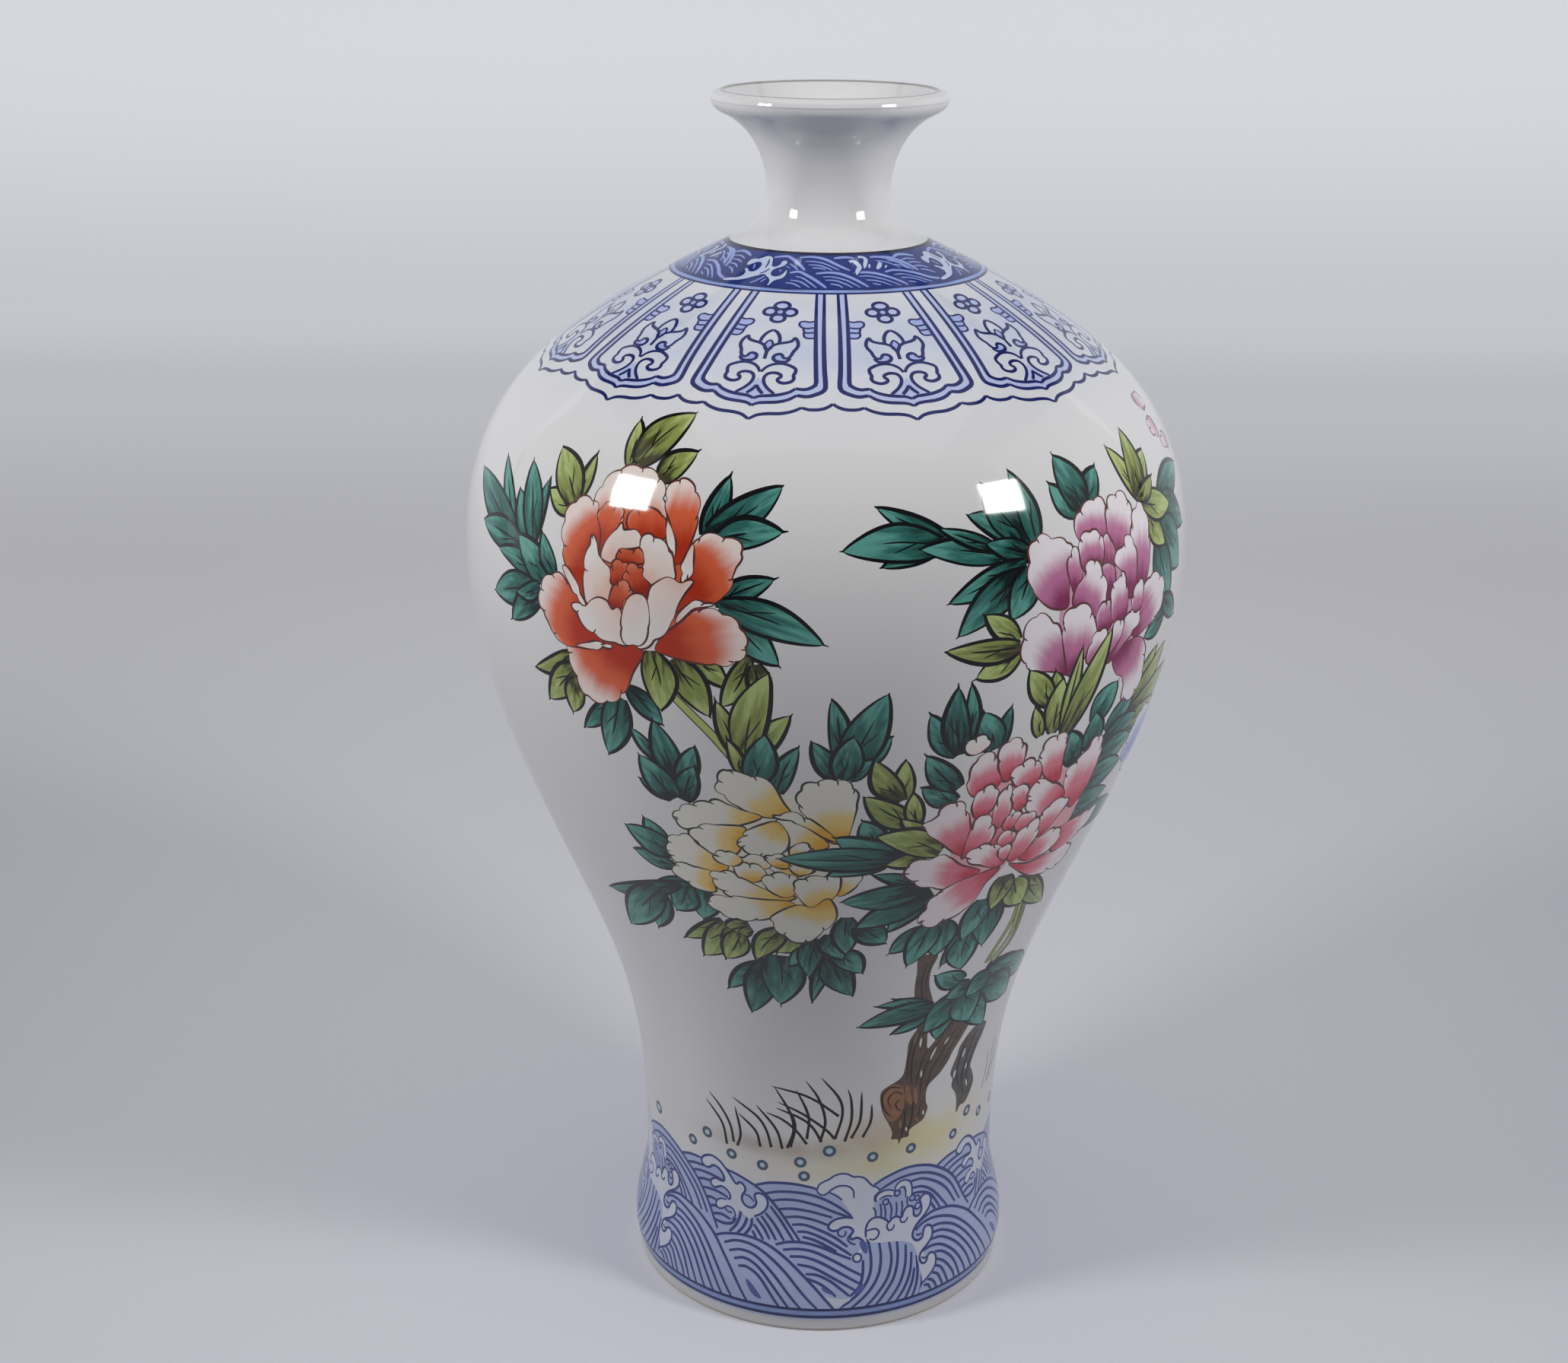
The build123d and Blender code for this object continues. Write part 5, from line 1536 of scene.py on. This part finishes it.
class Shell:
    """A closed mesh built from a painted skin and turned rings."""

    def __init__(self):
        self.points = []
        self.faces = []
        self.known = set()
        self.paints = []
        self.corner_normals = []
        self.corner_brush = []
        self.corner_chart = []

    def face(self, corners, paint, normals=None, brush=None, chart=None):
        """Add a triangle, unless two of its corners are one point or it is there already."""
        key = frozenset(corners)
        if len(key) < 3 or key in self.known:
            return
        self.known.add(key)
        self.faces.append(corners)
        self.paints.append(paint)
        self.corner_normals.extend(normals or [(0, 0, 0)] * 3)
        self.corner_brush.extend(brush or [plain_brush] * 3)
        self.corner_chart.extend(chart or [plain_chart] * 3)

    def ring(self, radius, height):
        """Points round the axis at one radius and height, as (degrees, point number) pairs."""
        if radius < CLOSE:
            self.points.append((0, 0, height * MM))
            return [(0.0, len(self.points) - 1)]
        made = []
        for degrees in np.linspace(-HALF_TURN, HALF_TURN, ring_columns, endpoint=False):
            turn = math.radians(degrees)
            self.points.append((radius * math.sin(turn) * MM, -radius * math.cos(turn) * MM, height * MM))
            made.append((degrees, len(self.points) - 1))
        return made

    def join(self, first, second, paint):
        """Close the gap between two rings. The way from the first to the second has the solid on its left."""
        a, b = len(first), len(second)
        i = j = 0
        while i < a or j < b:
            next_first = first[(i + 1) % a][0] + (FULL_TURN if i + 1 >= a else 0)
            next_second = second[(j + 1) % b][0] + (FULL_TURN if j + 1 >= b else 0)
            one, other = first[i % a][1], second[j % b][1]
            if a > 1 and i < a and (j >= b or b == 1 or next_first <= next_second):
                self.face((one, first[(i + 1) % a][1], other), paint)
                i += 1
            else:
                if b > 1:
                    self.face((one, second[(j + 1) % b][1], other), paint)
                j += 1
            if (a == 1 and j >= b) or (b == 1 and i >= a):
                break

    def turned(self, outline, paint):
        """Rings along an outline, joined. Gives the first and last ring."""
        rings = [self.ring(*point) for point in outline]
        for first, second in zip(rings, rings[1:]):
            self.join(first, second, paint)
        return rings[0], rings[-1]

    def skin(self, shapes, low, high):
        """Lay the painted skin between two runs. Gives its lower and upper rings."""
        flat, triangles, top = cut_skin(shapes, low, high)
        used = np.unique(triangles)
        heights = [round(float(run), seam_digits) for run in flat[:, 1]]
        at_left = {heights[k]: k for k in used if flat[k, 0] < -HALF_TURN + CLOSE}
        points, normals = surface(flat[:, 0], flat[:, 1])
        welded = np.full(len(flat), -1)
        for k in used:
            if flat[k, 0] <= HALF_TURN - CLOSE or heights[k] not in at_left:
                welded[k] = len(self.points)
                self.points.append(tuple(points[k]))
        for k in used:
            if welded[k] < 0:
                welded[k] = welded[at_left[heights[k]]]
        seeds = [random.Random(number).random() for number in range(len(shapes))]
        for corners, number in zip(triangles, top):
            chart = [(flat[k, 0] / FULL_TURN + 0.5, flat[k, 1] / chart_run) for k in corners]
            brush = None
            paint = "glaze"
            if number >= 0:
                _, paint, axis, width = shapes[number]
                brush = [brush_place(flat[k], axis, width, seeds[number]) for k in corners]
            corner_normals = [tuple(normals[k]) for k in corners]
            self.face([int(welded[k]) for k in corners], paint, corner_normals, brush, chart)
        return [self.edge_ring(flat, used, welded, run) for run in (low, high)]

    def edge_ring(self, flat, used, welded, run):
        """The skin's points at one run, as (degrees, point number) pairs in order."""
        loop = {}
        for k in used:
            if abs(flat[k, 1] - run) < CLOSE:
                degrees = float(flat[k, 0])
                loop[int(welded[k])] = degrees if degrees < HALF_TURN - CLOSE else -HALF_TURN
        return sorted((degrees, k) for k, degrees in loop.items())

    def build(self, name):
        """Make the mesh object, with the material of each paint."""
        mesh = bpy.data.meshes.new(name)
        mesh.from_pydata(self.points, [], self.faces)
        paints = sorted(set(self.paints))
        for paint in paints:
            mesh.materials.append(pigments[paint])
        numbers = {paint: k for k, paint in enumerate(paints)}
        mesh.polygons.foreach_set("material_index", [numbers[paint] for paint in self.paints])
        mesh.polygons.foreach_set("use_smooth", [True] * len(self.faces))
        mesh.set_sharp_from_angle(angle=math.radians(crease_angle))
        brush = mesh.attributes.new("brush", "FLOAT_VECTOR", "CORNER")
        brush.data.foreach_set("vector", np.array(self.corner_brush, np.float32).ravel())
        chart = mesh.uv_layers.new(name="OFBake")
        chart.uv.foreach_set("vector", np.array(self.corner_chart, np.float32).ravel())
        mesh.normals_split_custom_set(self.corner_normals)
        mesh.update()
        return linked(name, mesh)


def linked(name, data):
    """A new object with this data, in the scene."""
    made = bpy.data.objects.new(name, data)
    bpy.context.scene.collection.objects.link(made)
    return made


# Materials. Colours are written as a screen shows them, 0 to 255
glaze_roughness = 0.07
glaze_ior = 1.5
MIX_SHARE, MIX_FIRST, MIX_SECOND = 0, 6, 7      # sockets of a mix node that mixes colours
MIX_RESULT = 2


def screen(colour):
    """Linear colour of one given as a screen shows it, by the sRGB curve."""
    shares = [v / 255 for v in colour]
    return tuple(v / 12.92 if v <= 0.04045 else ((v + 0.055) / 1.055) ** 2.4 for v in shares) + (1.0,)


class Look:
    """A node material under construction."""

    def __init__(self, name):
        self.material = bpy.data.materials.new(name)
        self.material.use_nodes = True
        self.tree = self.material.node_tree
        self.shader = self.tree.nodes["Principled BSDF"]

    def add(self, kind, **inputs):
        """A new node, with some of its inputs set."""
        node = self.tree.nodes.new(kind)
        for name, value in inputs.items():
            self.put(node, name, value)
        return node

    def put(self, node, name, value):
        """Set an input of a node, given by its name or number, to a value or to another node's output."""
        socket = node.inputs[name]
        if isinstance(value, bpy.types.NodeSocket):
            self.tree.links.new(value, socket)
        else:
            socket.default_value = value

    def maths(self, operation, *values, clamp=False):
        """One step of arithmetic with values or outputs."""
        node = self.tree.nodes.new("ShaderNodeMath")
        node.operation = operation
        node.use_clamp = clamp
        for number, value in enumerate(values):
            self.put(node, number, value)
        return node.outputs[0]

    def times(self, a, b):
        return self.maths("MULTIPLY", a, b)

    def plus(self, a, b):
        return self.maths("ADD", a, b)

    def mix(self, share, a, b):
        """A colour between two others."""
        node = self.tree.nodes.new("ShaderNodeMix")
        node.data_type = "RGBA"
        for number, value in ((MIX_SHARE, share), (MIX_FIRST, a), (MIX_SECOND, b)):
            self.put(node, number, value)
        return node.outputs[MIX_RESULT]

    def ramp(self, share, places, colours):
        """A soft change of colour, with one colour at each place from 0 to 1."""
        node = self.add("ShaderNodeValToRGB", Fac=share)
        node.color_ramp.interpolation = "EASE"
        while len(node.color_ramp.elements) < len(places):
            node.color_ramp.elements.new(1.0)
        for element, place, colour in zip(node.color_ramp.elements, places, colours):
            element.position = place
            element.color = screen(colour)
        return node.outputs[0]

    def noise(self, vector, scale, detail=3.0):
        """Soft clouds, from 0 to 1."""
        return self.add("ShaderNodeTexNoise", Vector=vector, Scale=scale, Detail=detail).outputs[0]

    def brush(self):
        """Along, across and the number of the painted shape."""
        attribute = self.tree.nodes.new("ShaderNodeAttribute")
        attribute.attribute_name = "brush"
        return self.split(attribute.outputs["Vector"])

    def split(self, vector):
        return self.add("ShaderNodeSeparateXYZ", Vector=vector).outputs

    def stretched(self, values, factors):
        """A place made of three values, each times its factor."""
        x, y, z = (self.times(value, factor) for value, factor in zip(values, factors))
        return self.add("ShaderNodeCombineXYZ", X=x, Y=y, Z=z).outputs[0]

    def place(self):
        """The place on the object, in metres."""
        return self.tree.nodes.new("ShaderNodeTexCoord").outputs["Object"]

    def finish(self, colour, roughness=glaze_roughness):
        """Give the shader its colour and gloss."""
        self.put(self.shader, "Base Color", colour)
        self.put(self.shader, "Roughness", roughness)
        self.put(self.shader, "IOR", glaze_ior)
        return self.material


def flat_paint(name, colour, other, scale=70.0, roughness=glaze_roughness):
    """An even line colour that varies a little from place to place."""
    look = Look(name)
    share = look.noise(look.place(), scale)
    return look.finish(look.mix(share, screen(colour), screen(other)), roughness)


streak_stretch = (1.2, 3.0, 40.0)
streak_strength = 0.24
rim_strength = 0.34


def petal_paint(name, deep, mid, pale, reach):
    """Deep at the petal's base, through its own colour, to a pale rim, with faint streaks along it."""
    look = Look(name)
    along, across, seed = look.brush()
    streak_place = look.stretched((along, across, seed), streak_stretch)
    streaks = look.noise(streak_place, 1.0, detail=2.0)
    streak = look.maths("MULTIPLY_ADD", streaks, streak_strength, -streak_strength / 2)
    square = look.times(across, across)
    rim = look.times(look.times(square, square), rim_strength)
    tone = look.plus(look.plus(along, rim), streak)
    return look.finish(look.ramp(tone, reach, (deep, mid, pale)))


leaf_stretch = (2.0, 2.2, 60.0)
leaf_wash_scale = 1.3
leaf_wash_strength = 1.3
leaf_differ = 0.3               # how far the tone differs from leaf to leaf
leaf_darkest = -0.1
leaf_shuffle = 7.31             # spreads the leaves' numbers, so that neighbours differ
leaf_rise = 0.8                 # how far the tone clears from base to tip
leaf_tones = (0.0, 0.36, 0.85)
leaf_roughness = 0.08


def leaf_paint(name, dark, mid, light):
    """Sooty at the leaf's base, clearer toward its tip, with uneven washes."""
    look = Look(name)
    along, across, seed = look.brush()
    wash_place = look.stretched((along, across, seed), leaf_stretch)
    washes = look.noise(wash_place, leaf_wash_scale, detail=4.0)
    wash = look.maths("MULTIPLY_ADD", washes, leaf_wash_strength, -leaf_wash_strength / 2)
    number = look.maths("FRACT", look.times(seed, leaf_shuffle))
    each = look.maths("MULTIPLY_ADD", number, leaf_differ, leaf_darkest)
    tone = look.plus(look.plus(look.times(along, leaf_rise), each), wash)
    return look.finish(look.ramp(tone, leaf_tones, (dark, mid, light)), leaf_roughness)


wash_cloud_scale = 110.0
wash_fall = 0.37                # what is left of a wash one spread away from its middle
white_roughness = 0.06


def glaze_paint(name, white, washes):
    """White glaze with soft washes of colour under it, each at a place on the unrolled surface."""
    look = Look(name)
    chart = look.add("ShaderNodeUVMap")
    chart.uv_map = "OFBake"
    u, v, _ = look.split(chart.outputs[0])
    degrees = look.maths("MULTIPLY_ADD", u, FULL_TURN, -HALF_TURN)
    run = look.times(v, chart_run)
    cloudy = look.noise(look.place(), wash_cloud_scale, detail=4.0)
    colour = screen(white)
    for tint, strength, middle, spread in washes:
        aside = look.maths("DIVIDE", look.maths("SUBTRACT", degrees, middle[0]), spread[0])
        above = look.maths("DIVIDE", look.maths("SUBTRACT", run, middle[1]), spread[1])
        apart = look.plus(look.times(aside, aside), look.times(above, above))
        near = look.maths("POWER", wash_fall, apart)
        share = look.maths("MULTIPLY", look.times(near, cloudy), strength, clamp=True)
        colour = look.mix(share, colour, screen(tint))
    return look.finish(colour, white_roughness)


ALL_ROUND = 1e4                 # a spread that reaches right round the vase
WASH_GRAIN = 60.0
COLLAR_GRAIN = 120.0
BARK_GRAIN = 320.0
CLAY_GRAIN = 300.0
bark_roughness = 0.2
clay_roughness = 0.6
white = (217, 217, 219)
# tint, strength, and the middle and spread in degrees and run
glaze_washes = (
    ((216, 206, 140), 1.5, (32, 54), (24, 8)),
    ((214, 204, 160), 0.9, (2, 50), (22, 5)),
    ((150, 124, 104), 1.1, (-10, 55.5), (24, 3.2)),
    ((186, 150, 118), 0.9, (18, 60), (10, 6)),
    ((192, 199, 219), 1.7, (0, 298), (ALL_ROUND, 17)),
)
pigments = {
    "glaze": glaze_paint("white glaze", white, glaze_washes),
    "cobalt": flat_paint("cobalt line", (18, 26, 82), (34, 44, 110)),
    "cobalt_dark": flat_paint("dark cobalt", (20, 32, 88), (32, 46, 108)),
    "cobalt_night": flat_paint("darkest cobalt", (8, 12, 40), (14, 18, 52)),
    "cobalt_deep": flat_paint("deep cobalt", (18, 34, 100), (42, 60, 138), COLLAR_GRAIN),
    "cobalt_pale": flat_paint("pale cobalt", (118, 140, 206), (162, 180, 228), COLLAR_GRAIN),
    "cobalt_wash": flat_paint("cobalt wash", (154, 168, 214), (186, 197, 228), WASH_GRAIN),
    "lappet_wash": flat_paint("lappet wash", (164, 176, 222), (190, 198, 226), 50.0),
    "tab_wash": flat_paint("tab wash", (146, 160, 216), (172, 184, 226), WASH_GRAIN),
    "ring_pale": flat_paint("ring edge", (186, 194, 220), (200, 206, 226)),
    "ring_mid": flat_paint("ring wash", (110, 132, 190), (134, 154, 206)),
    "wave_blue": flat_paint("wave line", (44, 58, 118), (64, 80, 146)),
    "wave_pool": flat_paint("deep water", (70, 88, 158), (92, 110, 176)),
    "foam": flat_paint("foam", (204, 210, 230), (214, 218, 230), 45.0),
    "collar_foam": flat_paint("collar foam", (174, 188, 226), (200, 209, 232), COLLAR_GRAIN),
    "bubble_line": flat_paint("bubble line", (60, 78, 104), (86, 104, 126)),
    "bubble": flat_paint("bubble", (172, 194, 208), (192, 210, 220)),
    "ink": flat_paint("ink", (8, 10, 12), (24, 24, 26)),
    "ink_soft": flat_paint("soft ink", (34, 29, 27), (60, 50, 45)),
    "umber": flat_paint("umber line", (68, 32, 31), (108, 62, 57)),
    "mauve": flat_paint("mauve line", (112, 84, 94), (146, 118, 126)),
    "coral": petal_paint("coral", (176, 50, 24), (212, 96, 62), (230, 216, 210), (0.16, 0.56, 0.98)),
    "coral_heart": petal_paint("coral heart", (152, 40, 20), (196, 84, 56), (216, 134, 108), (0.05, 0.5, 1)),
    "coral_cup": petal_paint("coral cup", (226, 190, 178), (228, 212, 206), (228, 224, 222), (0.0, 0.3, 0.7)),
    "plum": petal_paint("plum", (128, 40, 88), (184, 112, 152), (228, 222, 228), (0.02, 0.36, 0.74)),
    "yellow": petal_paint("yellow", (224, 166, 44), (228, 200, 124), (224, 222, 212), (0.0, 0.26, 0.56)),
    "pink": petal_paint("pink", (190, 50, 68), (214, 118, 136), (230, 220, 224), (0.02, 0.35, 0.72)),
    "blush": petal_paint("blush", (160, 116, 128), (206, 176, 184), (222, 210, 213), (0.05, 0.4, 0.8)),
    "bluebud": petal_paint("blue", (76, 106, 190), (140, 162, 220), (222, 228, 240), (0.02, 0.42, 0.8)),
    "teal": leaf_paint("teal leaf", (18, 34, 34), (44, 100, 94), (92, 158, 148)),
    "olive": leaf_paint("olive leaf", (62, 60, 34), (134, 146, 78), (178, 192, 124)),
    "stem": leaf_paint("stem", (86, 98, 46), (142, 158, 80), (186, 200, 120)),
    "bark": flat_paint("bark", (40, 31, 26), (116, 92, 76), BARK_GRAIN, bark_roughness),
    "bark_warm": flat_paint("cut bark", (110, 72, 48), (166, 120, 86), BARK_GRAIN, bark_roughness),
    "bark_grey": flat_paint("grey bark", (36, 33, 32), (118, 110, 106), BARK_GRAIN, bark_roughness),
    "bark_line": flat_paint("bark line", (26, 20, 18), (48, 38, 32)),
    # painted dark edge: a grey line along the sharp crest of the lip, standing for the dark line that edge
    # shows
    "rim": flat_paint("painted dark crest line", (150, 147, 146), (168, 165, 163), CLAY_GRAIN),
    "foot_clay": flat_paint("bare foot rim", (196, 186, 172), (206, 198, 186), CLAY_GRAIN, clay_roughness),
}

# The painted pieces
canvas = Canvas()
decorate(canvas)
painted_shapes = round_the_back(canvas.shapes)
foot_run = 0.0
waist_run = run_at(waist_z)
belly_seam_run = run_at(belly_seam_z)
collar_run = float(outer_run[-1])


def skin_between(shell, low, high):
    """The painted skin between two runs, with the shapes that reach into it."""
    near = [shape for shape in painted_shapes if shape[0][:, 1].max() > low and shape[0][:, 1].min() < high]
    return shell.skin(near, low, high)


def placed(piece, nodes):
    """Tie a piece to its body and hide the imported nodes it stands for."""
    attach(piece, "root")
    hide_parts(*nodes)


def painted_foot():
    """The foot: painted outside, a floor inside, and a bare rim round the recess below."""
    shell = Shell()
    low_ring, high_ring = skin_between(shell, foot_run, waist_run)
    shell.join(high_ring, shell.turned(foot_inside, "glaze")[0], "glaze")
    shell.join(shell.turned(underside, "foot_clay")[1], low_ring, "foot_clay")
    placed(shell.build("painted_foot"), ("foot_section", "foot_luting"))


def painted_wall(name, low, high, inner_outline, nodes):
    """A section of wall: painted outside, plain inside, closed at both ends."""
    shell = Shell()
    low_ring, high_ring = skin_between(shell, low, high)
    first, last = shell.turned(inner_outline, "glaze")
    shell.join(high_ring, first, "glaze")
    shell.join(last, low_ring, "glaze")
    placed(shell.build(name), nodes)


def glazed_neck():
    """The neck and mouth, plain white, with a grey line painted along the crest of the lip for the dark edge
    it shows.
    """
    shell = Shell()
    first, edge = shell.turned(neck_outside[:-1], "glaze")
    crest = shell.ring(*neck_outside[-1])
    next_edge, last = shell.turned(neck_inside[1:], "glaze")
    # the thin bands on either side of the crest carry the painted dark edge line
    shell.join(edge, crest, "rim")
    shell.join(crest, next_edge, "rim")
    shell.join(last, first, "glaze")
    placed(shell.build("glazed_neck"), ("neck_and_mouth",))


painted_foot()
painted_wall("painted_lower_wall", waist_run, belly_seam_run,
             between(upper_inside, waist_z, belly_seam_z), ("lower_body", "belly_luting"))
painted_wall("painted_shoulder", belly_seam_run, collar_run,
             between(upper_inside, belly_seam_z, collar_inside[1]), ("upper_body", "neck_luting"))
glazed_neck()

# Floor and backdrop, in metres
floor_reach = 3.0
sweep_start = 1.3
sweep_radius = 1.2
sweep_steps = 16
wall_top = 3.0
half_width = 4.0
paper_colour = (206, 207, 214)
paper_roughness = 0.9
# glow of the paper as the camera and the glaze see it, from under the vase back to the wall
glow_places = (0.0, 0.26, 0.47, 0.58, 0.80)
glow_colours = ((98, 98, 106), (129, 129, 133), (156, 157, 160), (173, 174, 177), (195, 197, 202))


def backdrop_paper():
    """Grey paper that the camera and the glaze see brighter toward the back. It lights nothing by itself."""
    paper = Look("backdrop paper")
    rays = paper.add("ShaderNodeLightPath").outputs
    mirrored_rays = paper.maths("MAXIMUM", rays["Is Glossy Ray"], rays["Is Transmission Ray"])
    seen = paper.maths("MAXIMUM", rays["Is Camera Ray"], mirrored_rays)
    depth = paper.split(paper.place())[1]
    glow = paper.ramp(paper.maths("DIVIDE", depth, sweep_start + sweep_radius), glow_places, glow_colours)
    paper.put(paper.shader, "Emission Color", glow)
    paper.put(paper.shader, "Emission Strength", seen)
    return paper.finish(screen(paper_colour), paper_roughness)


def backdrop_sweep():
    """A floor that rises into a wall behind the vase."""
    sweep = [(-floor_reach, 0.0), (sweep_start, 0.0)]
    for a in np.linspace(0, math.pi / 2, sweep_steps + 1)[1:]:
        sweep.append((sweep_start + sweep_radius * math.sin(a), sweep_radius * (1 - math.cos(a))))
    sweep.append((sweep_start + sweep_radius, wall_top))
    points = [(x, y, z) for y, z in sweep for x in (-half_width, half_width)]
    faces = [(2 * k, 2 * k + 1, 2 * k + 3, 2 * k + 2) for k in range(len(sweep) - 1)]
    mesh = bpy.data.meshes.new("backdrop")
    mesh.from_pydata(points, [], faces)
    mesh.polygons.foreach_set("use_smooth", [True] * len(faces))
    mesh.materials.append(backdrop_paper())
    return linked("backdrop", mesh)


backdrop = backdrop_sweep()

# Camera: place in metres, angles in degrees, lens in millimetres
camera_place = Vector((0, -0.59156, 0.38056))
camera_pitch, camera_yaw, camera_roll = 19.397, -1.044, 0.282
camera_lens = 52.62
sensor_width = 36.0


def aimed(place, right, up, back):
    """The placement of an object with these three directions as its own."""
    return Matrix.Translation(place) @ Matrix((right, up, back)).transposed().to_4x4()


def set_camera():
    """The camera that took the photo, as fitted to it."""
    pitch, yaw, roll = (math.radians(a) for a in (camera_pitch, camera_yaw, camera_roll))
    forward = Vector((math.sin(yaw) * math.cos(pitch), math.cos(yaw) * math.cos(pitch), -math.sin(pitch)))
    level = Vector((math.cos(yaw), -math.sin(yaw), 0))
    upright = level.cross(forward)
    right = level * math.cos(roll) + upright * math.sin(roll)
    up = upright * math.cos(roll) - level * math.sin(roll)
    data = bpy.data.cameras.new("camera")
    data.sensor_fit = "HORIZONTAL"
    data.sensor_width = sensor_width
    data.lens = camera_lens
    camera = linked("camera", data)
    camera.matrix_world = aimed(camera_place, right, up, -forward)
    bpy.context.scene.camera = camera


set_camera()

# Lamps: sizes and places in metres, powers in watts
key_distance = 0.62
key_target = (0, -0.02, 0.33)
key_size = 0.15
key_power = 0.8
key_spread = 100.0
key_colour = (1.0, 0.99, 0.975)
# where each key lamp's reflection sits on the shoulder: degrees and run
key_reflections = (("left softbox", -30.5, 253.0), ("right softbox", 27.5, 253.5))
overhead_place = (0, 0.2, 2.0)
overhead_target = (0, 0.1, 0)
overhead_size = 2.2
overhead_power = 7.0
panel_aside = 1.5
panel_back = 0.1
panel_height = 0.75
panel_target = (0, 0, 0.2)
panel_size = 1.5
panel_power = 3.2
world_colour = (0.95, 0.96, 1.0, 1)
world_strength = 0.08


def softbox(name, place, target, size, power, spread=180.0, colour=(1, 1, 1), across=(1, 0, 0)):
    """A square soft lamp aimed at a point, with two of its sides along a direction."""
    light = bpy.data.lights.new(name, "AREA")
    light.shape = "SQUARE"
    light.size = size
    light.energy = power
    light.color = colour
    light.spread = math.radians(spread)
    back = (Vector(place) - Vector(target)).normalized()
    side = (Vector(across) - Vector(across).dot(back) * back).normalized()
    linked(name, light).matrix_world = aimed(place, side, back.cross(side), back)


def mirror_way(degrees, run):
    """Where the camera's look goes after it meets the glaze at a place on the unrolled surface."""
    points, normals = surface(np.array([degrees]), np.array([run]))
    point, normal = Vector(points[0]), Vector(normals[0])
    look = (point - camera_place).normalized()
    return point, look - 2 * look.dot(normal) * normal


for name, degrees, run in key_reflections:
    point, way = mirror_way(degrees, run)
    across = mirror_way(degrees + 1, run)[1] - way
    softbox(name, point + way * key_distance, key_target, key_size, key_power, key_spread, key_colour, across)
softbox("overhead", overhead_place, overhead_target, overhead_size, overhead_power)
for name, x in (("left panel", -panel_aside), ("right panel", panel_aside)):
    softbox(name, (x, panel_back, panel_height), panel_target, panel_size, panel_power)

world = bpy.data.worlds.new("studio")
world.use_nodes = True
world_light = world.node_tree.nodes["Background"].inputs
world_light["Color"].default_value = world_colour
world_light["Strength"].default_value = world_strength
bpy.context.scene.world = world
bpy.context.scene.view_settings.view_transform = "Standard"
